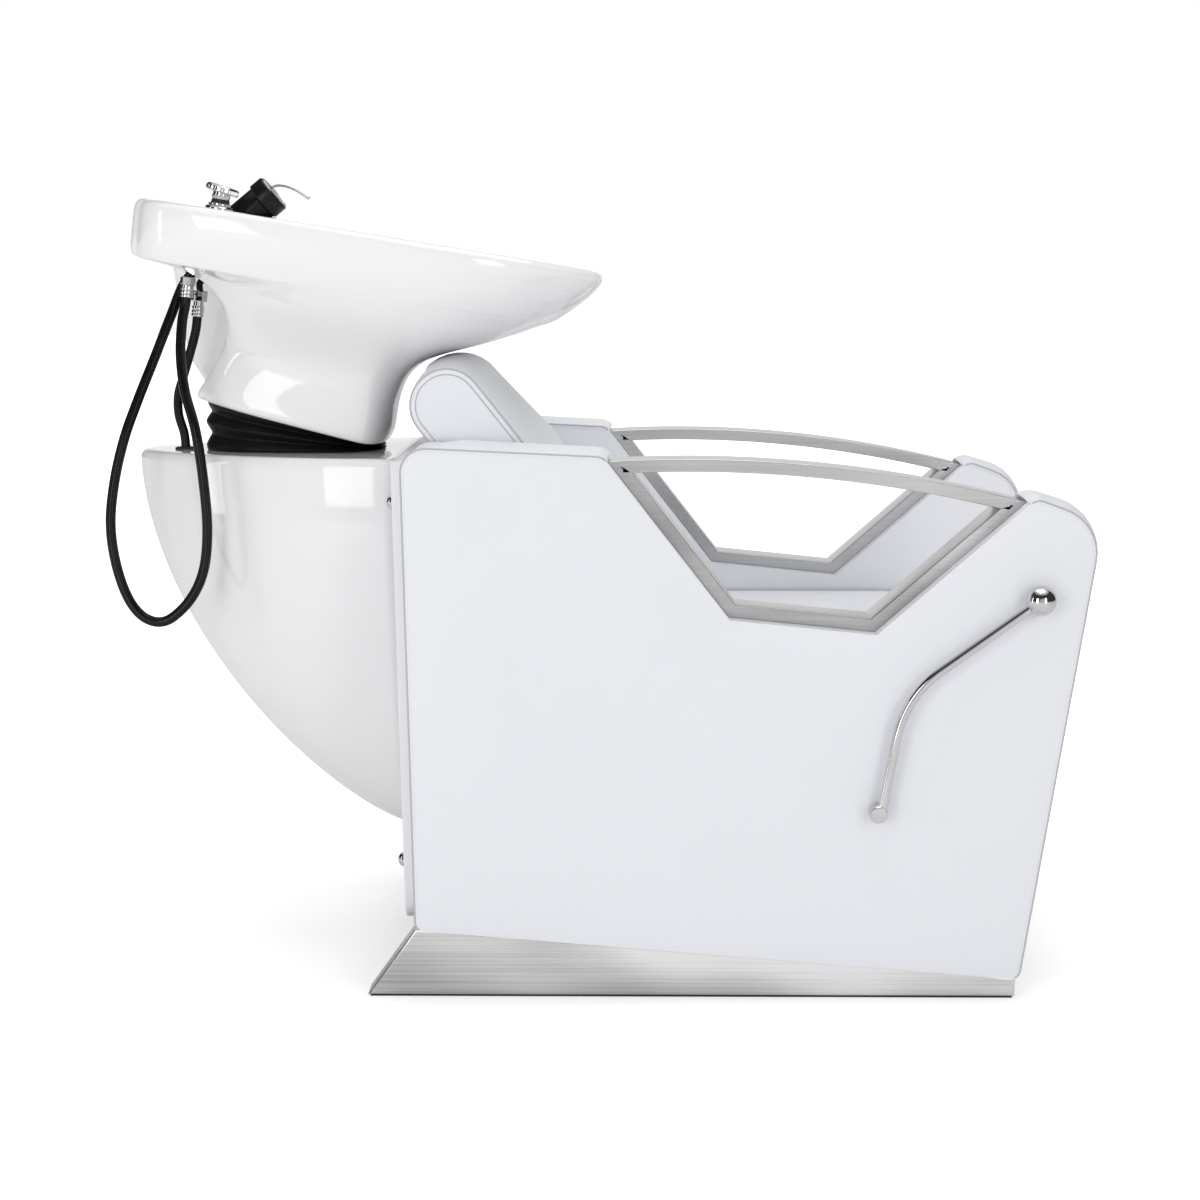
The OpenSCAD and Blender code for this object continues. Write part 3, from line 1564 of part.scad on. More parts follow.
module lever_knob() {
    color("silver")
        translate([ball_at.x, -lever_y, ball_at.y])
            difference() {
                sphere(d = ball_d, $fn = fine);
                rotate([0, 90 - rod_end, 0])
                    translate([0, 0, -ball_d])
                        cylinder(d = lever_d + 0.2, h = ball_d * 0.54, $fn = fine);
            }
}

base_skirt_right();
base_skirt_left();
foot_strips();
base_frame();
side_panel_right();
side_panel_left();
armrest_frame_right();
armrest_frame_left();
seat_frame();
seat_cushion();
back_board();
back_cushion();
rear_plate();
dome_screws();
pedestal_shell();
shell_grommet();
tilt_bracket();
tilt_pins();
gaiter();
waste_pipe();
waste_hose();
basin();
basin_carrier();
drain_strainer();
drain_tail();
shower_guide();
guide_nut();
mixer_body();
mixer_nut();
mixer_tails();
outlet_ferrule();
supply_ferrule();
mixer_cap();
mixer_lever();
shower_grip();
shower_head();
shower_hose();
supply_hose();
legrest_board();
legrest_pad();
legrest_arms();
legrest_pins();
lever_bush();
lever_shaft();
lever_crank();
lever_rod();
lever_knob();
push_link();
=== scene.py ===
"""Salon shampoo station, dressed over its own solids.

X runs from the basin to the client's feet, Y across the seat and Z up from the floor. Shapes are worked
out in millimetres, as in the part's source, and put into the meshes in metres.
"""

import math

import bmesh
import bpy
import numpy as np
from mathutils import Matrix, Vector


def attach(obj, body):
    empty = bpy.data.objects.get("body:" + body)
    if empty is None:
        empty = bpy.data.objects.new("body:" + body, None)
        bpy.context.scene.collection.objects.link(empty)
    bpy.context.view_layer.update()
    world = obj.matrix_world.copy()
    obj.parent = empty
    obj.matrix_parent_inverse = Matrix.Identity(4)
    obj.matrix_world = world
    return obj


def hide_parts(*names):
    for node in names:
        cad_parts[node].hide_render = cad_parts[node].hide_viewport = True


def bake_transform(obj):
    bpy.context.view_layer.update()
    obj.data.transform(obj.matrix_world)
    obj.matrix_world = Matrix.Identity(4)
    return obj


bl_info = {
    "name": "Shampoo station",
    "version": (1, 0, 0),
    "blender": (4, 5, 0),
    "location": "View3D > Sidebar > Station",
    "description": "Upholstery, ceramic, steel, taps and hoses of a salon shampoo station",
    "category": "Object",
}

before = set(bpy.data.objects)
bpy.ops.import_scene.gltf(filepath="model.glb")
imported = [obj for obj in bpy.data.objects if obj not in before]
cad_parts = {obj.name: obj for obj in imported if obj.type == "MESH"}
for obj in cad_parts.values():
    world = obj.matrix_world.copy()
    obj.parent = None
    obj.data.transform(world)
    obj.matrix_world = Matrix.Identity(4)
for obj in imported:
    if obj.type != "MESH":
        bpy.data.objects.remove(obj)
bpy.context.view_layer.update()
MM = 0.001
ROOT = "chair"
ACROSS = np.array([0.0, 1.0, 0.0])
SIDES = ((-1, "right"), (1, "left"))
SQUARE = ((-1, -1), (1, -1), (1, 1), (-1, 1))
OWN = "station_"


# Sizes and colours


def length(label, text, default_mm):
    """A length property in metres, from a size in millimetres."""
    return bpy.props.FloatProperty(
        name=label, description=text, default=default_mm * MM, min=0.0, unit="LENGTH", precision=4
    )


def tint(label, text, red, green, blue):
    """A colour property."""
    return bpy.props.FloatVectorProperty(
        name=label, description=text, default=(red, green, blue), size=3, min=0.0, max=1.0, subtype="COLOR"
    )


class StationSizes(bpy.types.PropertyGroup):
    """Sizes of the finishing that a user may change."""

    piping_r: length("Piping radius", "Radius of the cord sewn into the seams", 1.25)
    cheek_pillow: length("Cheek pillow", "How far the foam stands proud of the seams on flat cheeks", 5.5)
    pillow_reach: length("Pillow reach", "Distance from a seam over which the foam rises", 26.0)
    stitch: length("Stitch", "Length of one stitch", 4.2)
    stitch_step: length("Stitch step", "Distance from one stitch to the next", 6.5)
    stitch_inset: length("Stitch inset", "Distance of the stitches from their seam", 4.0)
    seam_gap: length("Seam gap", "Distance of the second seam from the first", 7.0)
    fold_r: length("Fold radius", "Outer radius of the folds in the steel skirts", 3.0)
    bar_edge: length("Bar edge", "Rounding of the arm rest's flat bar", 1.3)
    plate_edge: length("Plate edge", "Rounding of the rear plate's edges", 3.0)


class StationColours(bpy.types.PropertyGroup):
    """Colours of the finishes that a user may change."""

    leatherette: tint("Leatherette", "White upholstery", 0.835, 0.845, 0.885)
    ceramic: tint("Ceramic", "Glazed basin", 0.93, 0.93, 0.93)
    shell: tint("Shell", "Glossy moulded pedestal", 0.88, 0.88, 0.89)
    plate: tint("Plate", "Painted rear plate", 0.86, 0.86, 0.88)
    steel: tint("Steel", "Brushed stainless steel", 0.76, 0.76, 0.76)
    chrome: tint("Chrome", "Plated fittings", 0.64, 0.64, 0.645)
    rubber: tint("Rubber", "Black hoses", 0.006, 0.006, 0.0065)
    gaiter: tint("Gaiter", "Black folded skirt under the basin", 0.006, 0.006, 0.006)
    tap: tint("Tap", "Black mixer", 0.008, 0.008, 0.0085)
    backdrop: tint("Backdrop", "Floor and backdrop", 0.90, 0.90, 0.90)


def sizes():
    """The scene's finishing sizes."""
    return bpy.context.scene.station_sizes


def colours():
    """The scene's colours."""
    return bpy.context.scene.station_colours


# Curves


def unit(v):
    """Vectors divided by their own lengths, along the last axis."""
    v = np.asarray(v, float)
    return v / np.linalg.norm(v, axis=-1, keepdims=True)


def signed_power(v, p):
    """The p-th power of the size of v, with the sign of v."""
    return np.sign(v) * np.abs(v) ** p


def arc(a, b, c, r, steps):
    """The corner at b between a and c as an arc of radius r that touches both legs."""
    a, b, c = (np.asarray(p, float) for p in (a, b, c))
    if r <= 0:
        return b[None]
    u, v = unit(a - b), unit(c - b)
    half = math.acos(float(np.clip(u @ v, -1, 1))) / 2
    mid = b + unit(u + v) * r / math.sin(half)
    start, to = b + u * r / math.tan(half) - mid, b + v * r / math.tan(half) - mid
    t0 = math.atan2(start[1], start[0])
    turn = (math.atan2(to[1], to[0]) - t0 + math.pi) % (2 * math.pi) - math.pi
    t = t0 + turn * np.linspace(0, 1, steps + 1)
    return mid + r * np.stack([np.cos(t), np.sin(t)], 1)


def outline(corners, step=7.0, steps=8):
    """A closed outline through corners [x, z, radius, swell]: they are turned to arcs, then sampled evenly.

    Returns the points and each point's swell, which runs linearly from corner to corner.
    """
    after = corners[1:] + corners[:1]
    before = corners[-1:] + corners[:-1]
    rounds = [arc(a[:2], b[:2], c[:2], b[2], steps) for a, b, c in zip(before, corners, after)]
    swell = np.concatenate([np.full(len(p), corner[3]) for p, corner in zip(rounds, corners)])
    return resample(np.concatenate(rounds), swell, step)


def resample(pts, value, step):
    """A closed line sampled again: its legs are cut into equal pieces no longer than step."""
    ahead, change = np.roll(pts, -1, 0) - pts, np.roll(value, -1) - value
    cuts = np.maximum(1, np.ceil(np.linalg.norm(ahead, axis=1) / step).astype(int))
    leg = np.repeat(np.arange(len(pts)), cuts)
    share = (np.arange(cuts.sum()) - np.repeat(np.cumsum(cuts) - cuts, cuts)) / cuts[leg]
    return pts[leg] + ahead[leg] * share[:, None], value[leg] + change[leg] * share


def normals_of(pts):
    """Outward unit normals of an anticlockwise closed outline, from the two legs that meet at each point."""
    before, after = unit(pts - np.roll(pts, 1, 0)), unit(np.roll(pts, -1, 0) - pts)
    out = unit(np.stack([before[:, 1] + after[:, 1], -before[:, 0] - after[:, 0]], 1))
    stretch = 1 / np.maximum(0.25, (out * np.stack([before[:, 1], -before[:, 0]], 1)).sum(1))
    return out * stretch[:, None]


def grown(pts, by):
    """A closed outline moved outwards along its normals by one distance or one for each point."""
    return pts + normals_of(pts) * np.broadcast_to(by, len(pts))[:, None]


def edge_distance(pts, line):
    """Distance of each point from the nearest leg of a closed line."""
    a, d = line, np.roll(line, -1, 0) - line
    p = pts.reshape(-1, 1, 2)
    t = np.clip(((p - a) * d).sum(-1) / np.maximum((d * d).sum(-1), 1e-9), 0, 1)
    return np.linalg.norm(p - a - t[..., None] * d, axis=-1).min(1).reshape(pts.shape[:-1])


def route(points, steps):
    """A smooth line through points: stretches of cubics that share their slopes where they meet."""
    p = np.asarray(points, float)
    padded = np.concatenate([p[:1], p, p[-1:]])
    a, b, c, d = (padded[i : len(p) - 1 + i, None] for i in range(4))
    t = (np.arange(steps) / steps)[None, :, None]
    cubic = 0.5 * (2 * b + (c - a) * t + (2 * a - 5 * b + 4 * c - d) * t**2 + (3 * b - a - 3 * c + d) * t**3)
    return np.concatenate([cubic.reshape(-1, p.shape[1]), p[-1:]])


def bow(p, q, rise, steps):
    """An arc from p to q that rises by rise at its middle, without its last point."""
    p, q = np.asarray(p, float), np.asarray(q, float)
    chord = np.linalg.norm(q - p)
    r = (chord**2 / 4 + rise**2) / (2 * rise)
    along = (q - p) / chord
    up = np.array([-along[1], along[0]])
    t = np.linspace(-1, 1, steps + 1)[:-1, None] * math.asin(chord / 2 / r)
    return (p + q) / 2 - up * (r - rise) + along * r * np.sin(t) + up * r * np.cos(t)


# Surfaces


def grid(points, across=True, along=False):
    """A skin over rows of points: across closes each row, and along joins the last row to the first."""
    rows, cols = points.shape[:2]
    i = np.arange(rows if along else rows - 1)[:, None]
    j = np.arange(cols if across else cols - 1)[None]
    k, m = (i + 1) % rows, (j + 1) % cols
    quads = np.stack([i * cols + j, i * cols + m, k * cols + m, k * cols + j], -1).reshape(-1, 4)
    return points.reshape(-1, 3), quads.tolist()


def face(ring):
    """One flat face inside a ring of points."""
    return ring, [list(range(len(ring)))]


def fan(ring, hub):
    """Triangles from a ring of points to one hub."""
    n = len(ring)
    i = np.arange(n)
    return np.concatenate([ring, [hub]]), np.stack([i, (i + 1) % n, np.full(n, n)], 1).tolist()


def across_y(flat, y):
    """Points of an x-z outline put at y."""
    return np.stack([flat[..., 0], np.broadcast_to(y, flat.shape[:-1]), flat[..., 1]], -1)


def frame_of(axis):
    """Two directions square to an axis and to each other."""
    axis = unit(axis)
    side = unit(np.cross([0.0, 1.0, 0.0] if abs(axis[1]) < 0.9 else [1.0, 0.0, 0.0], axis))
    return side, np.cross(axis, side)


def wheel(side, other, sides):
    """Unit directions evenly round the plane of two directions: side * cos + other * sin of the turn."""
    t = np.arange(sides) * 2 * math.pi / sides
    return np.cos(t)[:, None] * side + np.sin(t)[:, None] * other


def lathe(profile, foot, axis, sides):
    """A profile [radius, height] turned about an axis: foot + height * axis + radius * wheel."""
    r, height = np.asarray(profile, float).T[..., None, None]
    return grid(np.asarray(foot, float) + height * unit(axis) + r * wheel(*frame_of(axis), sides))


def eased(profile, r):
    """An open profile with its inner corners turned to small arcs."""
    p = np.asarray(profile, float)
    room = 0.45 * np.linalg.norm(np.diff(p, axis=0), axis=1)
    radii = np.minimum(r, np.minimum(room[:-1], room[1:]))
    arcs = [arc(a, b, c, corner, 3) for a, b, c, corner in zip(p, p[1:], p[2:], radii)]
    return np.concatenate([p[:1], *arcs, p[-1:]])


def tube(path, r, sides, first=None, last=None):
    """A round section carried along a path, square to it, whose radius may differ from point to point."""
    t = unit(np.gradient(path, axis=0))
    if first is not None:
        t[0], t[-1] = unit(first), unit(last)
    v = unit(ACROSS - t * (t @ ACROSS)[:, None])
    round_path = wheel(v[:, None], np.cross(v, t)[:, None], sides)
    rings = path[:, None] + np.broadcast_to(r, len(path))[:, None, None] * round_path
    return [grid(rings), fan(rings[0], path[0]), fan(rings[-1], path[-1])]


def slab(edge, section):
    """An outline in x-z carried along a section [inset, y], with a flat face in its first and last ring."""
    rings = np.stack([across_y(grown(edge, -inset), y) for inset, y in section])
    return [grid(rings), face(rings[0]), face(rings[-1])]


def round_section(half, r, inner, y_mid=0.0):
    """Section of a plate of that half thickness with edges of radius r, and a flat margin before its faces.

    A row close to each edge keeps the faces shaded flat.
    """
    t = np.linspace(0, math.pi / 2, 6)
    near = np.stack([r - r * np.sin(t), -half + r - r * np.cos(t)], 1)
    far = np.stack([r - r * np.cos(t), half - r + r * np.sin(t)], 1)
    firm = r + 0.4
    edge = [[inner, -half], [firm, -half], *near.tolist(), *far.tolist(), [firm, half], [inner, half]]
    return [[i, y + y_mid] for i, y in edge]


# Pieces


def weld(mesh):
    """Merges points closer than 0.02 mm, drops faces without area and turns every face outwards."""
    work = bmesh.new()
    work.from_mesh(mesh)
    bmesh.ops.remove_doubles(work, verts=work.verts, dist=0.00002)
    bmesh.ops.dissolve_degenerate(work, edges=work.edges, dist=0.000005)
    bmesh.ops.recalc_face_normals(work, faces=work.faces)
    work.to_mesh(mesh)
    work.free()


def piece(name, skins, look, body, nodes=(), sharp=40, levels=0, wall=0.0):
    """Joins skins into one piece at the origin, with its finish, body and the nodes it stands for."""
    skins = [s for part in skins for s in (part if isinstance(part, list) else [part])]
    starts = np.cumsum([0] + [len(p) for p, _ in skins])
    points = np.concatenate([p for p, _ in skins]) * MM
    faces = [[int(v + start) for v in f] for start, (_, fs) in zip(starts, skins) for f in fs]
    mesh = bpy.data.meshes.new(name)
    mesh.from_pydata(points, [], faces)
    weld(mesh)
    mesh.shade_smooth()
    if sharp and not levels:
        mesh.set_sharp_from_angle(angle=math.radians(sharp))
    mesh.materials.append(finish(look))
    obj = bpy.data.objects.new(name, mesh)
    bpy.context.scene.collection.objects.link(obj)
    if levels:
        smooth = obj.modifiers.new("smooth", "SUBSURF")
        smooth.levels = smooth.render_levels = levels
    if wall:
        thick = obj.modifiers.new("wall", "SOLIDIFY")
        thick.thickness = wall * MM
        thick.offset = -1
        thick.use_even_offset = True
    if body:
        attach(obj, body)
    if nodes:
        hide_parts(*nodes)
    return obj


# Shader groups


class Graph:
    """A node tree under construction."""

    def __init__(self, tree):
        self.tree = tree
        tree.nodes.clear()

    def add(self, kind, settings=None, **inputs):
        """A node with its settings and inputs, by name or as i0, i1 and so on: values or sockets to link."""
        made = self.tree.nodes.new(kind)
        for key, value in (settings or {}).items():
            setattr(made, key, value)
        for key, value in inputs.items():
            numbered = key[0] == "i" and key[1:].isdigit()
            socket = made.inputs[int(key[1:]) if numbered else key.replace("_", " ")]
            if isinstance(value, bpy.types.NodeSocket):
                self.tree.links.new(value, socket)
            else:
                socket.default_value = value
        return made

    def noise(self, at, scale, detail, **inputs):
        """Smooth noise of that scale."""
        return self.add("ShaderNodeTexNoise", Vector=at, Scale=scale, Detail=detail, **inputs).outputs[0]

    def drawn(self, at, scale):
        """Coordinates scaled differently along each axis."""
        return self.add("ShaderNodeMapping", Vector=at, Scale=scale).outputs[0]

    def ramp(self, value, start, end):
        """Zero before start, one after end, and straight between them."""
        made = self.add("ShaderNodeValToRGB", i0=value)
        for element, place, grey in zip(made.color_ramp.elements, (start, end), (0, 1)):
            element.position = place
            element.color = (grey, grey, grey, 1)
        return made.outputs[0]

    def soft_step(self, value, start, end, low, high):
        """A smooth step from low before start to high after end."""
        soft = {"interpolation_type": "SMOOTHSTEP"}
        return self.add("ShaderNodeMapRange", soft, i0=value, i1=start, i2=end, i3=low, i4=high).outputs[0]

    def maths(self, operation, a, b):
        """A sum, product or the like of two values."""
        return self.add("ShaderNodeMath", {"operation": operation}, i0=a, i1=b).outputs[0]

    def blend(self, a, b, share):
        """A share of the first value, and the rest of the second."""
        return self.maths("ADD", self.maths("MULTIPLY", a, share), self.maths("MULTIPLY", b, 1 - share))


def group(name, inputs, outputs, build):
    """A shader node group with named sockets, built once."""
    if name in bpy.data.node_groups:
        return bpy.data.node_groups[name]
    tree = bpy.data.node_groups.new(name, "ShaderNodeTree")
    for label, kind, default in inputs:
        socket = tree.interface.new_socket(label, in_out="INPUT", socket_type=kind)
        if default is not None:
            socket.default_value = default
    for label, kind in outputs:
        tree.interface.new_socket(label, in_out="OUTPUT", socket_type=kind)
    g = Graph(tree)
    source = g.add("NodeGroupInput").outputs
    results = build(g, source)
    g.add("NodeGroupOutput", None, **{f"i{k}": value for k, value in enumerate(results)})
    return tree


VECTOR, FLOAT = "NodeSocketVector", "NodeSocketFloat"


def leather_grain():
    """Pebbled grain: small cells whose borders sink, over slow waves in the foam below."""

    def build(g, source):
        warp = g.noise(source[0], 90.0, 2.0)
        shift = g.add("ShaderNodeVectorMath", {"operation": "SCALE"}, i0=warp, Scale=0.002).outputs[0]
        bent = g.add("ShaderNodeVectorMath", {"operation": "ADD"}, i0=source[0], i1=shift).outputs[0]
        cell = {"feature": "SMOOTH_F1"}
        cells = g.add("ShaderNodeTexVoronoi", cell, Vector=bent, Scale=source[1], Smoothness=0.5).outputs[0]
        pores = g.noise(source[0], 2600.0, 1.0)
        height = g.maths("ADD", g.maths("MULTIPLY", cells, -0.7), g.maths("MULTIPLY", pores, 0.2))
        return [height, g.noise(source[0], 7.0, 2.0, Roughness=0.4)]

    inputs = [("Vector", VECTOR, None), ("Scale", FLOAT, 620.0)]
    return group("Leather grain", inputs, [("Height", FLOAT), ("Slow", FLOAT)], build)


def brushed_grain():
    """Brushing marks: noise drawn out along the first axis, fine and coarse, with slow patches."""

    def build(g, source):
        fine = g.noise(g.drawn(source[0], (6.0, 1400.0, 1400.0)), 1.0, 4.0, Roughness=0.65)
        broad = g.noise(g.drawn(source[0], (2.2, 420.0, 420.0)), 1.0, 3.0, Roughness=0.6)
        patch = g.noise(g.drawn(source[0], (3.5, 9.0, 9.0)), 1.0, 1.0)
        return [g.blend(fine, broad, 0.35), patch]

    return group("Brushed grain", [("Vector", VECTOR, None)], [("Streak", FLOAT), ("Patch", FLOAT)], build)


def handling_marks():
    """Faint smudges and dust: two sizes of noise, the coarse one pressed into a soft mask."""

    def build(g, source):
        mask = g.ramp(g.noise(source[0], source[1], 4.0, Roughness=0.6), 0.35, 0.8)
        return [mask, g.noise(source[0], 420.0, 2.0)]

    inputs = [("Vector", VECTOR, None), ("Scale", FLOAT, 14.0)]
    return group("Handling marks", inputs, [("Mask", FLOAT), ("Specks", FLOAT)], build)


class Finish:
    """A material under construction: a Principled surface on the piece's Object coordinates."""

    def __init__(self, name, colour, roughness, **constants):
        self.made = bpy.data.materials.new(OWN + name)
        self.made.use_nodes = True
        self.made.diffuse_color = (*colour, 1)
        self.g = Graph(self.made.node_tree)
        self.at = self.g.add("ShaderNodeTexCoord").outputs["Object"]
        self.surface = self.g.add("ShaderNodeBsdfPrincipled", Base_Color=(*colour, 1), Roughness=roughness)
        for key, value in constants.items():
            self.surface.inputs[key.replace("_", " ")].default_value = value
        self.g.add("ShaderNodeOutputMaterial", Surface=self.surface.outputs[0])

    def use(self, tree, **inputs):
        """A node group placed on the object's coordinates."""
        made = self.g.add("ShaderNodeGroup", {"node_tree": tree}, Vector=self.at)
        for key, value in inputs.items():
            made.inputs[key].default_value = value
        return made.outputs

    def shade(self, mask, dark, light):
        """The base colour runs from dark to light by a mask."""
        made = self.g.add("ShaderNodeMix", {"data_type": "RGBA"}, i0=mask)
        made.inputs[6].default_value = (*dark, 1)
        made.inputs[7].default_value = (*light, 1)
        self.g.tree.links.new(made.outputs[2], self.surface.inputs["Base Color"])

    def gloss(self, mask, low, high):
        """The roughness runs from low to high by a mask."""
        made = self.g.add("ShaderNodeMapRange", i0=mask, i3=low, i4=high)
        self.g.tree.links.new(made.outputs[0], self.surface.inputs["Roughness"])

    def bump(self, height, distance_mm, strength):
        """The height raises the surface by at most that distance."""
        made = self.g.add("ShaderNodeBump", Strength=strength, Distance=distance_mm * MM, Height=height)
        self.g.tree.links.new(made.outputs[0], self.surface.inputs["Normal"])


def scaled(colour, by):
    """A colour times a number."""
    return tuple(min(1.0, c * by) for c in colour)


def grained(name, colour, rough, tones, scale, gloss, depth, strength, **constants):
    """A coated fabric with a pebbled grain: colour drifts between the tones, and roughness along gloss."""
    f = Finish(name, colour, rough, **constants)
    grain = f.use(leather_grain(), Scale=scale)
    f.shade(grain["Slow"], *(scaled(colour, tone) for tone in tones))
    if gloss:
        f.gloss(grain["Height"], *gloss)
    f.bump(grain["Height"], depth, strength)
    return f.made


def marked(name, colour, rough, shades, scale, gloss, depth=0.0, strength=0.3, ripple=0.0, **constants):
    """A coat whose colour and gloss drift with handling marks, over fine specks or a ripple of that scale."""
    f = Finish(name, colour, rough, **constants)
    marks = f.use(handling_marks(), Scale=scale)
    f.shade(marks["Mask"], *shades)
    f.gloss(marks["Mask"], *gloss)
    if depth:
        f.bump(f.g.noise(f.at, ripple, 1.0) if ripple else marks["Specks"], depth, strength)
    return f.made


def leatherette():
    """White coated fabric with a fine pebbled grain over foam."""
    c = tuple(colours().leatherette)
    tones, gloss = (0.985, 1.015), (0.50, 0.42)
    return grained("leatherette", c, 0.46, tones, 620.0, gloss, 0.10, 0.6, Specular_IOR_Level=0.42)


def shaded_piping_cloth():
    """The same coated fabric drawn tight over a cord, in a darker tone of the leatherette: painted shade of
    the groove that the seam sinks into.
    """
    return grained("piping", scaled(colours().leatherette, 0.6), 0.42, (0.96, 1.02), 900.0, None, 0.06, 0.5)


def stitch_thread():
    """Pale twisted thread."""
    c = scaled(colours().leatherette, 0.93)
    f = Finish("thread", c, 0.6, Sheen_Weight=0.3)
    twist = f.g.add("ShaderNodeTexWave", {"bands_direction": "DIAGONAL"}, Vector=f.at, Scale=900.0).outputs[0]
    f.shade(twist, scaled(c, 0.9), c)
    f.bump(twist, 0.08, 0.5)
    return f.made


CLEAR_COAT = {"IOR": 1.5, "Coat_Weight": 0.35, "Coat_Roughness": 0.02}


def glaze():
    """White sanitary ware: a deep glaze with a very slight ripple."""
    c = tuple(colours().ceramic)
    shades = (c, scaled(c, 0.985))
    return marked("ceramic", c, 0.05, shades, 5.0, (0.04, 0.075), 0.25, 0.35, ripple=16.0, **CLEAR_COAT)


def gel_coat():
    """Glossy white moulding with the faint orange peel of a sprayed coat."""
    c = tuple(colours().shell)
    shades = (c, scaled(c, 0.98))
    return marked("shell_plastic", c, 0.06, shades, 6.0, (0.04, 0.08), 0.06, ripple=60.0, **CLEAR_COAT)


def plate_paint():
    """Satin white paint on board."""
    c = tuple(colours().plate)
    return marked("plate_white", c, 0.32, (c, scaled(c, 0.985)), 9.0, (0.30, 0.35), 0.03)


def brushed_steel(name="stainless", dark=0.54, light=1.2):
    """Stainless steel brushed along its length: streaks in colour and gloss, and slow patches."""
    c = tuple(colours().steel)
    f = Finish(name, c, 0.3, Metallic=1.0)
    grain = f.use(brushed_grain())
    drift = f.g.blend(grain["Streak"], grain["Patch"], 0.35)
    f.shade(f.g.ramp(drift, 0.38, 0.62), scaled(c, dark), scaled(c, light))
    f.gloss(grain["Patch"], 0.2, 0.4)
    f.bump(grain["Streak"], 0.03, 0.55)
    return f.made


def arm_steel():
    """The arm rests' flat bar: the same steel, darker and more even."""
    return brushed_steel("stainless_arm", 0.62, 0.9)


def chrome_plate():
    """Bright chrome with faint wiping marks."""
    c = tuple(colours().chrome)
    return marked("chrome", c, 0.05, (c, scaled(c, 0.95)), 40.0, (0.035, 0.09), Metallic=1.0)


def dark_plastic(name, colour, gloss, depth):
    """Black plastic or rubber: gloss that varies in soft patches and a very fine texture."""
    c = tuple(colour)
    return marked(name, c, gloss[0], (c, scaled(c, 1.7)), 22.0, gloss, depth, 0.4, Specular_IOR_Level=0.2)


def hose_rubber():
    """Black hose."""
    return dark_plastic("hose_black", colours().rubber, (0.16, 0.26), 0.03)


def gaiter_skin():
    """Black coated cloth of the gaiter, with a fine grain."""
    c = tuple(colours().gaiter)
    tones, gloss = (1.0, 1.8), (0.42, 0.30)
    return grained("gaiter_black", c, 0.36, tones, 700.0, gloss, 0.10, 0.6, Specular_IOR_Level=0.16)


def tap_paint():
    """Black lacquer of the mixer."""
    return dark_plastic("tap_black", colours().tap, (0.2, 0.32), 0.02)


def grey_paint():
    """Grey paint on hidden steel, with a few darker scuffs."""
    shades = ((0.21, 0.21, 0.22), (0.13, 0.13, 0.135))
    return marked("frame_steel", (0.2, 0.2, 0.21), 0.42, shades, 18.0, (0.38, 0.55), 0.04, Metallic=0.2)


def plywood():
    """White lacquer on birch board: the growth lines run along X and show faintly through it."""
    f = Finish("board", (0.62, 0.61, 0.6), 0.45)
    rings = f.g.noise(f.g.drawn(f.at, (3.0, 60.0, 60.0)), 1.0, 5.0, Distortion=1.2)
    f.shade(f.g.ramp(rings, 0.35, 0.65), (0.56, 0.54, 0.52), (0.66, 0.65, 0.64))
    f.gloss(rings, 0.4, 0.55)
    f.bump(rings, 0.08, 0.4)
    return f.made


def pipe_plastic():
    """Grey drain pipe."""
    shades = ((0.38, 0.38, 0.39), (0.3, 0.3, 0.305))
    return marked("pipe_grey", (0.36, 0.36, 0.37), 0.4, shades, 20.0, (0.34, 0.5), 0.04)


def foot_pad():
    """Dark rubber strip."""
    return dark_plastic("foot_rubber", (0.03, 0.03, 0.03), (0.6, 0.8), 0.08)


FINISHES = {
    "leatherette": leatherette,
    "piping": shaded_piping_cloth,
    "thread": stitch_thread,
    "ceramic": glaze,
    "shell_plastic": gel_coat,
    "plate_white": plate_paint,
    "stainless": brushed_steel,
    "stainless_arm": arm_steel,
    "chrome": chrome_plate,
    "hose_black": hose_rubber,
    "gaiter_black": gaiter_skin,
    "tap_black": tap_paint,
    "frame_steel": grey_paint,
    "board": plywood,
    "pipe_grey": pipe_plastic,
    "foot_rubber": foot_pad,
}


def finish(name):
    """The finish of that name, made at its first use; the frame's own materials have the plain names."""
    return bpy.data.materials.get(OWN + name) or FINISHES[name]()


# Upholstery


def waist_of(edge, draw):
    """How far the seams are drawn in along an outline: draw * sin^2 of half a turn over its length."""
    return draw * np.sin(np.pi * np.arange(len(edge)) / len(edge)) ** 2


def pad_skins(edge, swell, hub, y_mid, half, crown, draw=0.0, band=14, rise=0.0, reach=None):
    """A padded body across Y.

    Its band runs from seam to seam: y is v times the half thickness, v runs as a half sine from -1 to 1, and
    the outline moves outwards by crown * swell * (1 - v^2). Its cheeks run from the seams to the hub: y rises
    from the seam's plane by rise * (1 - exp(-distance from the seam / reach)), so that the foam stands proud
    of the stitching, and sinks by draw / 2 * (1 - share^2), where share is 1 at the seam and 0 at the hub.
    """
    s = sizes()
    near_rise, far_rise = rise if isinstance(rise, tuple) else (rise, rise)
    reach = s.pillow_reach / MM if reach is None else reach
    v = np.sin(np.linspace(-math.pi / 2, math.pi / 2, band + 1))
    waist = waist_of(edge, draw)
    bulge = swell * crown
    rings = np.stack([across_y(grown(edge, bulge * (1 - k * k)), y_mid + k * (half - waist)) for k in v])
    share = np.concatenate([np.linspace(0.04, 0.9, 16), [0.93, 0.955, 0.975, 0.99, 1.0]])
    flat = np.asarray(hub, float) + (edge - hub) * share[:, None, None]
    lift = 1 - np.exp(-edge_distance(flat, edge) / reach)
    sunk = draw / 2 * (1 - share[:, None] ** 2) + waist
    near = across_y(flat, y_mid - half - near_rise * lift + sunk)
    far = across_y(flat, y_mid + half + far_rise * lift - sunk)
    hubs = [fan(cheek[0], cheek[0].mean(0)) for cheek in (near, far)]
    return [grid(rings), grid(near), grid(far), *hubs]


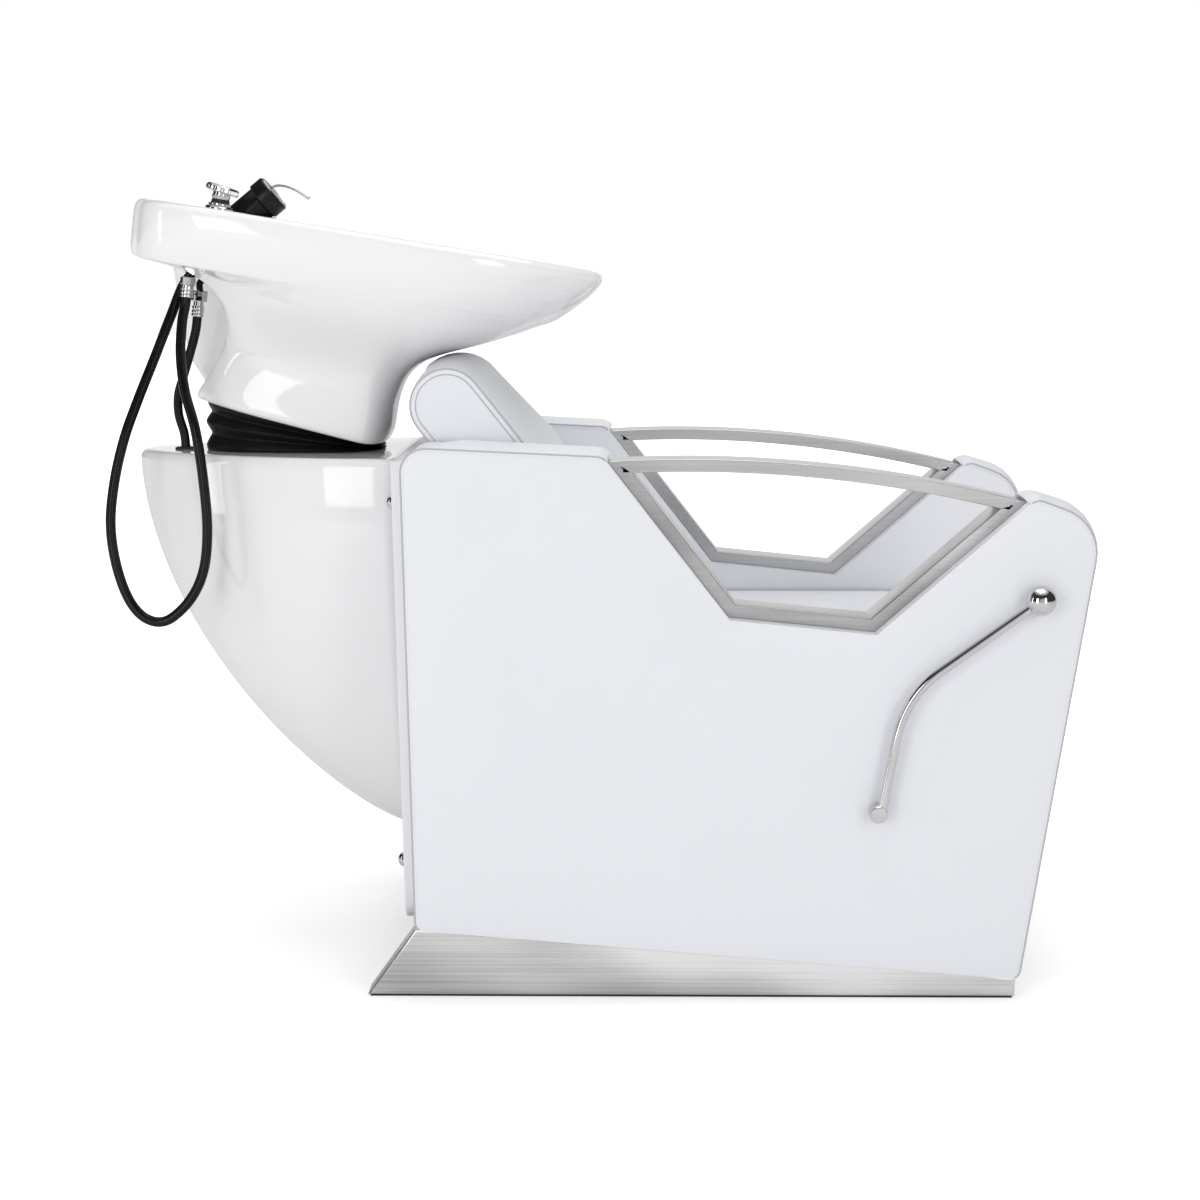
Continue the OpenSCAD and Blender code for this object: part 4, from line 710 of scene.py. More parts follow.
def runs(bare, *lines):
    """The stretches of closed lines where bare is false, cut from all the lines alike."""
    keep = ~bare
    start = int(np.argmax(keep & ~np.roll(keep, 1)))
    keep = np.roll(keep, -start)
    cuts = np.flatnonzero(keep[1:] != keep[:-1]) + 1
    parts = zip(*(np.split(np.roll(line, -start, 0), cuts) for line in lines))
    return [part for part, kept in zip(parts, np.split(keep, cuts)) if kept[0] and len(kept) > 3]


def between(at, run, values):
    """Values of a line at the distances asked for along it, from those at its points' own distances."""
    return np.stack([np.interp(at, run, values[:, k]) for k in range(3)], 1)


def stitches(path, out):
    """Short threads along a path, each a small six-sided spindle that dips into the cloth at its ends."""
    s = sizes()
    step, long = s.stitch_step / MM, s.stitch / MM
    run = np.concatenate([[0], np.cumsum(np.linalg.norm(np.diff(path, axis=0), axis=1))])
    mid = np.arange(step, run[-1] - step, step)
    at, ahead = between(mid, run, path), between(mid + 1, run, path)
    t = unit(ahead - at)
    out = unit(between(mid, run, np.broadcast_to(np.asarray(out, float), path.shape)))
    side = unit(np.cross(t, out))
    along = np.array([-0.5, -0.42, 0.0, 0.42, 0.5])[:, None, None] * long
    thick = np.array([0.05, 0.3, 0.4, 0.3, 0.05])[:, None, None]
    depth = np.array([-0.55, -0.1, 0.12, -0.1, -0.55])[:, None, None]
    at, t, out, side = (v[:, None, None] for v in (at, t, out, side))
    pts = at + along * t + depth * out + thick * wheel(side, out, 6)
    one = grid(pts[0])[1] + [[0, 1, 2, 3, 4, 5], [29, 28, 27, 26, 25, 24]]
    faces = [[v + 30 * k for v in f] for k in range(len(pts)) for f in one]
    return pts.reshape(-1, 3), faces


# The chair's own sizes in millimetres, as the part's source has them
BODY_W = 660.0
SEAT_W = 430.0
HALF_BODY = BODY_W / 2
HALF_SEAT = SEAT_W / 2
PANEL_T = HALF_BODY - HALF_SEAT
PANEL_Y = (HALF_BODY + HALF_SEAT) / 2
REAR_LEAN = math.tan(math.radians(1.2))
FRONT_LEAN = math.tan(math.radians(8.7))
BASE_FALL = math.tan(math.radians(4.6))
BASE_H = 87.0
BASE_REAR = -222.0
BASE_TOE = -282.0
BASE_FRONT = 528.0
FOOT_T = 2.5
PANEL_REAR = -220.0
PANEL_FRONT = 529.0
SHOULDER_H = 688.0
NOSE_H = 600.0
ARM_REAR = np.array([18.0, 672.0])
ARM_FRONT = np.array([528.0, 623.0])
NOTCH_REAR = np.array([167.0, 481.0])
NOTCH_FRONT = np.array([346.0, 463.0])
ARM_BAR = 15.5
ARM_RISE = 20.0
ARM_NEAR = HALF_BODY - 26.0
ARM_FAR = ARM_NEAR - 62.0
PAST_ARM = 10.0
SHOULDER_FALL = math.tan(math.radians(2.6))


def skirt_top(x):
    """Height of the skirts' top edge at x."""
    return BASE_H - (x - BASE_REAR) * BASE_FALL


def panel_low(x):
    """Height of the side panels' bottom edge at x."""
    return skirt_top(x) + 4.0


def rear_edge(z):
    """X of the side panels' rear edge at height z."""
    return PANEL_REAR - (z - BASE_H) * REAR_LEAN


def front_edge(z):
    """X of the side panels' front edge at height z."""
    return PANEL_FRONT + (z - panel_low(PANEL_FRONT)) * FRONT_LEAN


def panel_outline():
    """The side panel from the side: foot, sloping front, round nose, arm rest's notch and shoulder."""
    nose_end = ARM_FRONT + PAST_ARM * unit(ARM_FRONT - NOTCH_FRONT)
    shoulder_end = ARM_REAR + PAST_ARM * unit(ARM_REAR - NOTCH_REAR)
    corner = rear_edge(SHOULDER_H)
    top = shoulder_end[1] + (shoulder_end[0] - np.array([corner + 70, corner])) * SHOULDER_FALL
    low_end = PANEL_FRONT - 16
    return outline(
        [
            [rear_edge(panel_low(PANEL_REAR)), panel_low(PANEL_REAR), 12, 0],
            [low_end, panel_low(low_end), 0, 0],
            [PANEL_FRONT, panel_low(PANEL_FRONT), 12, 0.3],
            [front_edge(NOSE_H), NOSE_H, 58, 1],
            [*nose_end, 16, 0.8],
            [*ARM_FRONT, 0, 0],
            [*NOTCH_FRONT, 0, 0],
            [*NOTCH_REAR, 0, 0],
            [*ARM_REAR, 0, 0],
            [*shoulder_end, 14, 0.8],
            [corner + 70, top[0], 0, 0.9],
            [corner, top[1], 30, 0],
        ]
    )


def in_notch(edge):
    """True where an outline runs along the arm rest's frame or the panel's foot, which have no piping."""
    z = edge[:, 1]
    line = np.stack([ARM_REAR, NOTCH_REAR, NOTCH_FRONT, ARM_FRONT, NOTCH_FRONT, NOTCH_REAR])
    foot = np.abs(z - panel_low(edge[:, 0])) < 1.5
    return (edge_distance(edge, line) < 1.0) | foot


def trimmed(name, body, cords, threads):
    """The piping and the stitches of an upholstered piece."""
    piece(name + "_piping", cords, "piping", body)
    piece(name + "_stitches", threads, "thread", body, sharp=0)


class STATION_OT_side_panels(bpy.types.Operator):
    """Two padded side panels with piping and stitching round both cheeks"""

    bl_idname = "station.side_panels"
    bl_label = "Side panels"

    def execute(self, context):
        s = sizes()
        edge, swell = panel_outline()
        skip = in_notch(edge)
        hub = np.array([190.0, 260.0])
        for side, name in SIDES:
            node = f"side_panel_{name}"
            rise = (s.cheek_pillow / MM, 0.3)[::-side]
            skins = pad_skins(edge, swell, hub, side * PANEL_Y, PANEL_T / 2 - 0.6, 9.0, band=16, rise=rise)
            piece(node + "_pad", skins, "leatherette", ROOT, [node], sharp=60)
            cords, threads = [], []
            for cheek in (-1, 1):
                y = side * PANEL_Y + cheek * (PANEL_T / 2 - 0.8)
                seam = across_y(grown(edge, -0.2), y)
                row = across_y(grown(edge, -s.stitch_inset / MM), y + cheek * 0.9)
                for cord, thread in runs(skip, seam, row):
                    cords += tube(cord, s.piping_r / MM, 10)
                    threads.append(stitches(thread, [0, cheek, 0]))
            trimmed(node, ROOT, cords, threads)
        return {"FINISHED"}


# Steel


class STATION_OT_arm_rests(bpy.types.Operator):
    """Two arm rest frames of brushed flat bar with a bowed top"""

    bl_idname = "station.arm_rests"
    bl_label = "Arm rests"

    def execute(self, context):
        loop = np.concatenate([bow(ARM_FRONT, ARM_REAR, -ARM_RISE, 28), [ARM_REAR, NOTCH_REAR, NOTCH_FRONT]])
        outer = np.array(round_section((ARM_NEAR - ARM_FAR) / 2, sizes().bar_edge / MM, ARM_BAR / 2))
        inner = outer[::-1] * [-1, 1] + [ARM_BAR, 0]
        section = np.concatenate([outer, inner[1:-1]])
        for side, name in SIDES:
            mid = side * (ARM_NEAR + ARM_FAR) / 2
            rings = np.stack([across_y(grown(loop, -inset), mid + y) for inset, y in section])
            skins = [grid(rings, along=True)]
            piece(f"arm_rest_{name}", skins, "stainless_arm", ROOT, [f"armrest_frame_{name}"], sharp=26)
        return {"FINISHED"}


class STATION_OT_base(bpy.types.Operator):
    """Two folded steel skirts"""

    bl_idname = "station.base"
    bl_label = "Base skirts"

    def execute(self, context):
        r = sizes().fold_r / MM
        wall, flange, lip = 3.0, 42.0, 12.0
        corners = [
            [BASE_TOE, FOOT_T, 0, 0],
            [BASE_FRONT, FOOT_T, 0, 0],
            [BASE_FRONT, skirt_top(BASE_FRONT), 0, 0],
            [BASE_REAR, skirt_top(BASE_REAR), 0, 0],
        ]
        edge, _ = outline(corners, step=40.0, steps=4)
        y = HALF_BODY - 20.0
        fold = [[r - r * math.cos(a), -y + r - r * math.sin(a)] for a in np.linspace(math.pi / 2, 0, 6)]
        back = [[0, -y + flange], [wall, -y + flange], [wall, -y + wall], [lip, -y + wall]]
        skins = slab(edge, [[lip, -y], [lip / 2, -y], *fold, *back])
        for side, name in SIDES:
            turned = [(p * np.array([1, -side, 1]), f) for p, f in skins]
            piece(f"skirt_{name}", turned, "stainless", ROOT, [f"base_skirt_{name}"], sharp=30)
        return {"FINISHED"}


# Rear plate, screws and pedestal

PLATE_T = 20.0
PLATE_LOW, PLATE_TOP, PLATE_W = 82.0, 668.0, 500.0
SCREW_Y = PLATE_W / 2 - 15.0
SCREW_HEIGHTS = (158.0, 616.0)
PLATE_BACKWARDS = unit(np.array([-1.0, 0.0, -REAR_LEAN]))
PLATE_UP = unit(np.array([-REAR_LEAN, 0.0, 1.0]))


def plate_rear(z):
    """X of the rear plate's rear face at height z."""
    return rear_edge(z) - PLATE_T * math.hypot(1.0, REAR_LEAN)


def on_plate(y, z, back):
    """The point at y and height z on the plate's front face, moved backwards."""
    return np.array([rear_edge(z), y, z]) + back * PLATE_BACKWARDS


class STATION_OT_rear_plate(bpy.types.Operator):
    """Painted rear plate with rounded edges, and four domed screws on washers"""

    bl_idname = "station.rear_plate"
    bl_label = "Rear plate"

    def execute(self, context):
        tall = (PLATE_TOP - PLATE_LOW) * math.hypot(1.0, REAR_LEAN)
        places = ((-1, -1, 22), (1, -1, 22), (1, 1, 8), (-1, 1, 8))
        edge, _ = outline([[y * PLATE_W / 2, z * tall / 2, r, 0] for y, z, r in places], step=40.0)
        middle = on_plate(0, (PLATE_TOP + PLATE_LOW) / 2, PLATE_T / 2)
        rings = []
        for inset, d in round_section(PLATE_T / 2, sizes().plate_edge / MM, 9.0):
            flat = grown(edge, -inset)
            rings.append(middle + flat[:, :1] * ACROSS + flat[:, 1:] * PLATE_UP + d * PLATE_BACKWARDS)
        skins = [grid(np.stack(rings)), face(rings[0]), face(rings[-1])]
        piece("rear_board", skins, "plate_white", ROOT, ["rear_plate"])
        dome, rise = 10.0, 8.0
        big = (dome**2 + rise**2) / (2 * rise)
        a = np.linspace(math.asin(dome / big), 0, 10)[1:]
        cap = np.stack([big * np.sin(a), big * np.cos(a) - big + rise], 1)
        profile = np.concatenate([[[0.0, -2.0], [dome - 0.6, -2.0], [dome, 0.0], [dome - 0.2, 0.5]], cap])
        feet = [on_plate(side * SCREW_Y, z, PLATE_T) for side in (-1, 1) for z in SCREW_HEIGHTS]
        domes = [lathe(profile, foot, PLATE_BACKWARDS, 40) for foot in feet]
        piece("screw_domes", domes, "chrome", ROOT, ["dome_screws"], sharp=50)
        return {"FINISHED"}


SHELL_TOP, SHELL_LEN, SHELL_W, SHELL_D = 666.0, 361.0, 420.0, 512.0
SHELL_EDGE = 12.0
SHELL_WALL = 6.0
SHELL_POWER = 2.3
NEAR_TIP = 0.9999
GAITER_MID = -402.0
GAITER_HALF = (118.0, 96.0)
GAITER_POWER = 2.8
GROMMET = np.array([-547.0, -30.0])


def gaiter_plan(angle, more):
    """The gaiter's plan at an angle about its middle, its half sizes a and b grown by more.

    Its radius is (|cos / a|^p + |sin / b|^p)^(-1/p), a super-ellipse.
    """
    a, b = GAITER_HALF[0] + more, GAITER_HALF[1] + more
    p = GAITER_POWER
    radius = (np.abs(np.cos(angle) / a) ** p + np.abs(np.sin(angle) / b) ** p) ** (-1 / p)
    return radius[..., None] * np.stack([np.cos(angle), np.sin(angle)], -1) + [GAITER_MID, 0]


def shell_depth(u):
    """Depth of the shell's keel at a share u of its length: SHELL_D * (1 - u^1.3)^0.56."""
    return SHELL_D * (1 - u**1.3) ** 0.56


def shell_half(u):
    """Half the shell's width at a share u of its length: SHELL_W / 2 * (1 - u^1.7)^0.59."""
    return SHELL_W / 2 * (1 - u**1.7) ** 0.59


def shell_ring(depth, inset):
    """The shell's section at a depth below its top, from the plate's left to its right, drawn in by inset.

    It runs as half a turn of phi: the share of the length is the reach at that depth times sin(phi), and the
    width there shrinks by (1 - (depth / keel's depth)^p)^(1/p).
    """
    phi = np.linspace(0, math.pi, 72)
    shares = np.linspace(0, NEAR_TIP, 4000)
    reach = np.interp(-depth, -shell_depth(shares), shares) if depth > 0 else NEAR_TIP
    u = reach * np.sin(phi)
    share = np.clip(depth / np.maximum(shell_depth(np.minimum(u, NEAR_TIP)), 1e-6), 0, 1)
    y = np.cos(phi) / np.maximum(np.abs(np.cos(phi)), 1e-9) * shell_half(u)
    y = y * (1 - share**SHELL_POWER) ** (1 / SHELL_POWER)
    z = SHELL_TOP - depth
    x = np.minimum(plate_rear(SHELL_TOP) - u * SHELL_LEN, plate_rear(z))
    x = np.where(u <= 1e-6, plate_rear(z), x)
    pts = np.stack([x, y], 1)
    if inset:
        ahead = unit(np.gradient(pts, axis=0))
        inward = np.stack([-ahead[:, 1], ahead[:, 0]], 1)
        inward[[0, -1]] = [[0, -1], [0, 1]]
        pts = pts + inset * inward
        pts[[0, -1], 0] = plate_rear(z)
    return np.concatenate([pts, np.full((len(pts), 1), z)], 1)


class STATION_OT_pedestal(bpy.types.Operator):
    """Glossy pedestal shell: half a boat with a rounded top edge"""

    bl_idname = "station.pedestal"
    bl_label = "Pedestal shell"

    def execute(self, context):
        quarter = np.linspace(0, math.pi / 2, 7)
        edge = [shell_ring(SHELL_EDGE * (1 - math.cos(a)), SHELL_EDGE * (1 - math.sin(a))) for a in quarter]
        depths = SHELL_EDGE + (SHELL_D - SHELL_EDGE) * np.sin(np.linspace(0, math.pi / 2, 46)[1:])
        side = np.stack(edge + [shell_ring(d, 0.0) for d in depths])
        rim = edge[0][:, :2]
        front = np.linspace(rim[-1], rim[0], 24)[1:-1]
        loop = np.concatenate([rim, front])
        angle = np.arctan2(loop[:, 1], loop[:, 0] - GAITER_MID)
        hole = gaiter_plan(angle, -10.0)
        flat = loop + (hole - loop) * np.linspace(0, 1, 8)[:, None, None]
        top = np.concatenate([flat, np.full((*flat.shape[:2], 1), SHELL_TOP)], -1)
        skins = [grid(side, across=False), grid(top)]
        piece("pedestal", skins, "shell_plastic", ROOT, ["pedestal_shell"], sharp=60, wall=SHELL_WALL)
        bore = [[5.4, -6], [9.6, -6], [9.6, -0.2]]
        ring = [*bore, [14, -0.2], [14, 2.2], [12, 3], [6, 3], [5.4, 2], [5.4, -6]]
        skins = [lathe(eased(ring, 0.8), [*GROMMET, SHELL_TOP], [0, 0, 1], 48)]
        piece("grommet", skins, "foot_rubber", ROOT, ["shell_grommet"])
        return {"FINISHED"}


# Basin

BASIN_AT = np.array([-290.0, 0.0, 672.0])
BASIN_LEAN = math.radians(9.2)
ALONG = np.array([math.cos(BASIN_LEAN), 0.0, -math.sin(BASIN_LEAN)])
UP = np.array([math.sin(BASIN_LEAN), 0.0, math.cos(BASIN_LEAN)])
RIM_H, HALF_BASIN, DECK_T = 273.0, 245.0, 21.0
REAR_FACE, RECESS_TOP = -335.0, RIM_H - DECK_T
APRON = RIM_H - 75.0
DRAIN_X, DRAIN_R, BOWL_FLOOR = -42.0, 22.0, 104.0
BOWL_REAR = -163.0
FOOT_HALF = 117.0
SIDE_X = -30.0
NECK_HALF, NECK_IN, NECK_DOWN = 118, 92, 47
# Rows from the foot's outer edge up the wall, over the rim, down the bowl and up inside the hollow foot:
# height, fall of the foot's plane, rear x, front x, half width, bulge, share of the dip, and where the hollow
# under the deck leaves the wall also its own x and height
BASIN_ROWS = [
    [2, 0.09, -238, 4, FOOT_HALF - 7, 2.8, 0],
    [6, 0.09, -246, 11, FOOT_HALF, 2.8, 0, -244, 6],
    [24, 0.08, -248, 15, FOOT_HALF, 2.8, 0, -238, 24],
    [50, 0.06, -241, 14, FOOT_HALF - 5, 2.7, 0, -222, 50],
    [80, 0.04, -231, 17, FOOT_HALF - 4, 2.6, 0, -202, 80],
    [105, 0.02, -226, 27, FOOT_HALF + 9, 2.5, 0, -186, 105],
    [128, 0, -225, 54, FOOT_HALF + 32, 2.45, 0, -178, 128],
    [150, 0, -231, 112, FOOT_HALF + 59, 2.4, 0, -176, 152],
    [170, 0, -246, 153, HALF_BASIN - 45, 2.35, 0, -177, 180],
    [APRON - 13, 0, -270, 179, HALF_BASIN - 32, 2.3, 0.02, -179, 212],
    [APRON - 6, 0, -293, 193, HALF_BASIN - 26, 2.3, 0.06, -184, RECESS_TOP],
    [APRON - 3, 0, -313, 199, HALF_BASIN - 24, 2.3, 0.09, -250, RECESS_TOP],
    [APRON - 1.5, 0, -324, 202, HALF_BASIN - 23, 2.3, 0.11, REAR_FACE + 16, RECESS_TOP],
    [APRON - 0.5, 0, -331, 204, HALF_BASIN - 22, 2.3, 0.12, REAR_FACE + 16, APRON],
    [APRON + 0.5, 0, REAR_FACE, 207, HALF_BASIN - 21, 2.3, 0.13, REAR_FACE, APRON],
    [APRON + 18, 0, REAR_FACE, 239, HALF_BASIN - 10, 2.3, 0.3],
    [RIM_H - 39, 0, REAR_FACE, 265, HALF_BASIN - 4, 2.3, 0.55],
    [RIM_H - 21, 0, REAR_FACE, 284, HALF_BASIN, 2.3, 0.8],
    [RIM_H - 7, 0, REAR_FACE, 293, HALF_BASIN, 2.3, 0.97],
    [RIM_H, 0, REAR_FACE + 6, 288, HALF_BASIN - 6, 2.3, 1],
    [RIM_H, 0, REAR_FACE + 16, 280, HALF_BASIN - 13, 2.3, 1],
    [RIM_H, 0, BOWL_REAR - 12, 276, HALF_BASIN - 16, 2.3, 1],
    [RIM_H - 3, 0, BOWL_REAR, 271, HALF_BASIN - 22, 2.3, 1],
    [RIM_H - 14, 0, BOWL_REAR + 8, 262, HALF_BASIN - 26, 2.3, 0.95],
    [RIM_H - 45, 0, BOWL_REAR + 13, 232, HALF_BASIN - 33, 2.3, 0.55],
    [192, 0, BOWL_REAR + 20, 174, HALF_BASIN - 51, 2.3, 0.1],
    [155, 0, BOWL_REAR + 34, 100, FOOT_HALF + 30, 2.2, 0],
    [124, 0, BOWL_REAR + 60, 42, FOOT_HALF - 12, 2.1, 0],
    [BOWL_FLOOR + 4, 0, BOWL_REAR + 76, 8, 56, 2, 0],
    [BOWL_FLOOR, 0, DRAIN_X - 34, DRAIN_X + 34, 34, 2, 0],
    [BOWL_FLOOR, 0, DRAIN_X - 23, DRAIN_X + 23, 23, 2, 0],
    [BOWL_FLOOR - 14, 0, DRAIN_X - 23, DRAIN_X + 23, 23, 2, 0],
    [89, 0, -150, 10, 74, 2.4, 0],
    [70, 0.04, -205, 8, FOOT_HALF - 20, 2.6, 0, -185, 70],
    [36, 0.07, -222, 2, FOOT_HALF - 18, 2.7, 0, -212, 36],
    [2, 0.09, -225, -8, FOOT_HALF - 17, 2.8, 0],
]
# Angles round the plan from the feet's end; those past the recess's edge lie in the hollow under the deck
HALF_RING = [0, 5, 10, 15, 20, 26, 33, 41, 50, 60, 71, 83]
HALF_RING += [95, 107, 118, 128, 136, 143, 149, 154, 158, 166, 173, 180]
RECESS_EDGE = 156.0


# The rib that closes the hollow under the deck on its far side, in the basin's x and z
RIB_Y, RIB_T = 105.0, 14.0
RIB = [
    [-245, 26], [-176, 26], [-172, 258], [-324, 258], [-329, 190],
    [-321, 164], [-312, 128], [-300, 95], [-283, 60], [-262, 36],
]


def to_world(p):
    """Points in the basin's frame put into the station's."""
    p = np.asarray(p, float)
    return BASIN_AT + p[..., :1] * ALONG + p[..., 1:2] * ACROSS + p[..., 2:] * UP


def basin_grid():
    """The basin as one closed skin.

    In plan each row is a super-ellipse about SIDE_X: x runs as cos^(2/bulge) and y as sin^(2/bulge) of the
    angle, with its own reach to the front and to the rear. The front dips by (1 - (y / NECK_HALF)^2)^1.5 for
    the neck. Behind, the plan is squarer, the more so for rows that reach past x = -270, and past the
    recess's edge x and height are the row's own ones. Rows near the foot rise by fall * (8 - x) to the rear.
    """
    ring = np.array(HALF_RING + [360 - a for a in HALF_RING[-2:0:-1]], float)
    a = np.radians(ring)[None]
    rows = np.array([(row + [row[2], row[0]])[:9] for row in BASIN_ROWS], float)
    level, fall, rear, front, half, bulge, share, deep_x, deep_z = rows.T[..., None]
    back = np.cos(a) < 0
    square = 2.4 * np.clip((-270 - rear) / 65, 0, 1) ** 2
    power = 2 / np.where(back, bulge + 0.9 + square, bulge)
    reach = np.where(back, SIDE_X - rear, front - SIDE_X)
    x = SIDE_X + reach * signed_power(np.cos(a), power)
    y = half * signed_power(np.sin(a), power)
    dip = share * np.maximum(0, 1 - (y / NECK_HALF) ** 2) ** 1.5 * ~back
    in_recess = (ring > RECESS_EDGE) & (ring < 360 - RECESS_EDGE)
    x = np.where(in_recess, deep_x, x - NECK_IN * dip)
    z = np.where(in_recess, deep_z, level - NECK_DOWN * dip)
    return to_world(np.stack([x, y, z + fall * (8 - x)], -1))


def studs(profile, at, axis, count, radius, sides):
    """Small turned studs evenly round an axis, each standing along it."""
    return [lathe(profile, at + radius * out, axis, sides) for out in wheel(*frame_of(axis), count)]


class STATION_OT_basin(bpy.types.Operator):
    """The ceramic basin with its neck notch and deck, and the strainer in its drain"""

    bl_idname = "station.basin"
    bl_label = "Basin"

    def execute(self, context):
        piece("basin_ware", [grid(basin_grid(), along=True)], "ceramic", "basin", ["basin"], levels=2)
        rib = outline([[x, z, 9, 0] for x, z in RIB], step=12.0, steps=5)[0]
        skins = slab(rib, round_section(RIB_T / 2, 5.0, 9.0, RIB_Y))
        piece("basin_rib", [(to_world(p), f) for p, f in skins], "ceramic", "basin", sharp=60)
        foot = to_world([DRAIN_X, 0, BOWL_FLOOR])
        wide, neck, inner = DRAIN_R + 9, DRAIN_R - 3, DRAIN_R - 6
        disc = [[0, 1.2], [10, 1.2], [14, 3.2], [26, 3.2], [wide, 0.8], [wide, 0]]
        dish = eased([*disc, [neck, 0], [neck, -30], [inner, -30], [inner, -1], [0, -1]], 0.7)
        piece("strainer", [lathe(dish, foot, UP, 48)], "chrome", "basin", ["drain_strainer"])
        # Black discs flush with the strainer's ring where its holes would be: painted shade of the dark drain
        # below, since no holes are cut.
        hole_shades = studs([[0, 3.0], [3.3, 3.0], [3.6, 3.35], [3.9, 3.25]], foot, UP, 6, 20, 16)
        piece("strainer_hole_shades", hole_shades, "tap_black", "basin")
        return {"FINISHED"}


def foot_height(x):
    """Height of the plane of the basin's foot over x."""
    front = to_world([8.0, 0.0, 2.0])
    return front[2] + (front[0] - x) * math.tan(BASIN_LEAN + math.atan(0.09))


GAITER_FOLDS = [
    [-0.02, -3], [0.0, -1], [0.1, 0.6], [0.22, -2.5], [0.34, -6.5], [0.46, -2.5],
    [0.56, 0.4], [0.68, -3], [0.78, -7], [0.88, -3.5], [0.97, -1.5], [1.0, -2.5],
]


class STATION_OT_gaiter(bpy.types.Operator):
    """Black folded gaiter between the shell and the basin's foot"""

    bl_idname = "station.gaiter"
    bl_label = "Gaiter"

    def execute(self, context):
        angle = np.arange(120) * 2 * math.pi / 120
        height, out = route(GAITER_FOLDS, 4).T[..., None]
        plan = gaiter_plan(angle, out)
        rise = foot_height(plan[..., 0]) - SHELL_TOP
        rings = np.concatenate([plan, (SHELL_TOP + rise * height)[..., None]], -1)
        inside = gaiter_plan(angle, -27.0)
        tuck = np.concatenate([inside, (foot_height(inside[:, 0]) + 12)[:, None]], -1)
        skirt = gaiter_plan(angle, -13.0)
        hem = np.concatenate([skirt, np.full((len(skirt), 1), SHELL_TOP - 9)], -1)
        skins = [grid(np.concatenate([hem[None], rings, tuck[None]]))]
        folds = piece("gaiter_folds", skins, "gaiter_black", None, ["gaiter"], sharp=60)
        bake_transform(folds)
        return {"FINISHED"}


# Taps, shower and hoses

SHOWER = np.array([-246.0, -62.0])
MIXER = np.array([-206.0, 12.0])
GRIP_R, GUIDE_R, HEAD_R = 12.5, 15.5, 21.5
GRIP_LOW, GRIP_HIGH = RECESS_TOP - 14.0, RIM_H + 18.0
MIXER_RISE = math.radians(39.0)
MIXER_AXIS = np.array([math.cos(MIXER_RISE), 0.0, math.sin(MIXER_RISE)])
MIXER_SQUARE = np.array([-math.sin(MIXER_RISE), 0.0, math.cos(MIXER_RISE)])
MIXER_FOOT = to_world([MIXER[0] - 8, MIXER[1], RIM_H + 7])
BODY_R, BODY_TOP = 23.0, 14.5
MIXER_R, CAP_LOW, CAP_H = 26.0, 14.8, 21.5
LEVER_PIN = MIXER_FOOT + 28 * MIXER_AXIS + 6 * MIXER_SQUARE
FERRULE_LEAN = math.radians(7)
FERRULE_UP = np.array([math.sin(FERRULE_LEAN), 0.0, math.cos(FERRULE_LEAN)])
OUTLET = np.array([-527.0, -105.0, 868.0])
SUPPLY = np.array([-524.0, -48.0, 842.0])
OUTLET_LEN, SUPPLY_LEN = 26.0, 34.0
HOSE_D, SUPPLY_D, TAIL_D, WASTE_D = 13.0, 12.0, 9.0, 36.0
SKIN = 0.02

# The routes' points, as in the part's source
HOSE_START = to_world([*SHOWER, GRIP_LOW - SKIN])
HOSE_END = OUTLET - SKIN * FERRULE_UP
HOSE_ROUTE = [
    HOSE_START, [-501, -62, 930], [-515, -66, 910], [-534, -82, 885], [-548, -99, 846],
    [-568, -117, 790], [-587, -134, 738], [-603, -149, 689], [-615, -160, 634], [-620, -167, 579],
    [-613, -172, 527], [-597, -176, 483], [-575, -178, 459], [-548, -178, 457], [-518, -178, 484],
    [-500, -178, 522], [-494, -178, 574], [-498, -176, 638], [-508, -168, 701], [-524, -148, 750],
    [-532, -128, 795], [-532, -113, 835], [-529, -107, 855], HOSE_END,
]
SUPPLY_START = SUPPLY - SKIN * FERRULE_UP
SUPPLY_END = np.array([*GROMMET, SHELL_TOP + 3 + SKIN])
SUPPLY_ROUTE = [
    SUPPLY_START, [-527, -48, 822], [-535, -46, 795], [-545, -42, 765], [-554, -37, 738],
    [-555, -32, 712], [-549, -30, 688], SUPPLY_END,
]
TAIL_FROM = to_world([*MIXER, RECESS_TOP - 22]) - SKIN * UP
OUTLET_TOP = OUTLET + (OUTLET_LEN + SKIN) * FERRULE_UP
SUPPLY_TOP = SUPPLY + (SUPPLY_LEN + SKIN) * FERRULE_UP
OUTLET_TAIL = [
    TAIL_FROM + [0, 8, 0], TAIL_FROM + [0, 8, 0] - 10 * UP, [-478, 6, 914], [-504, -16, 924],
    [-530, -56, 932], [-529, -92, 926], OUTLET_TOP + 14 * FERRULE_UP, OUTLET_TOP,
]
SUPPLY_TAIL = [
    TAIL_FROM - [0, 8, 0], TAIL_FROM - [0, 8, 0] - 12 * UP, [-478, -14, 896],
    [-502, -38, 894], SUPPLY_TOP + 12 * FERRULE_UP, SUPPLY_TOP,
]


def hose(name, node, points, d, body, ends, steps=10, sides=28):
    """A round hose along a smooth line through its route's points, which hangs between two fittings.

    Its ends leave square to the two directions.
    """
    path = route(points, steps)
    made = piece(name, tube(path, d / 2, sides, *ends), "hose_black", body, [node], sharp=60)
    return made


class STATION_OT_hoses(bpy.types.Operator):
    """The looped shower hose and the supply hose down to the shell"""

    bl_idname = "station.hoses"
    bl_label = "Hoses"

    def execute(self, context):
        ends = (-UP, FERRULE_UP)
        loop = hose("shower_hose_loop", "shower_hose", HOSE_ROUTE, HOSE_D, None, ends)
        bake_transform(loop)
        ends = (-FERRULE_UP, (0, 0, -1))
        feed = hose("supply_hose_run", "supply_hose", SUPPLY_ROUTE, SUPPLY_D, None, ends)
        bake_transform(feed)
        return {"FINISHED"}


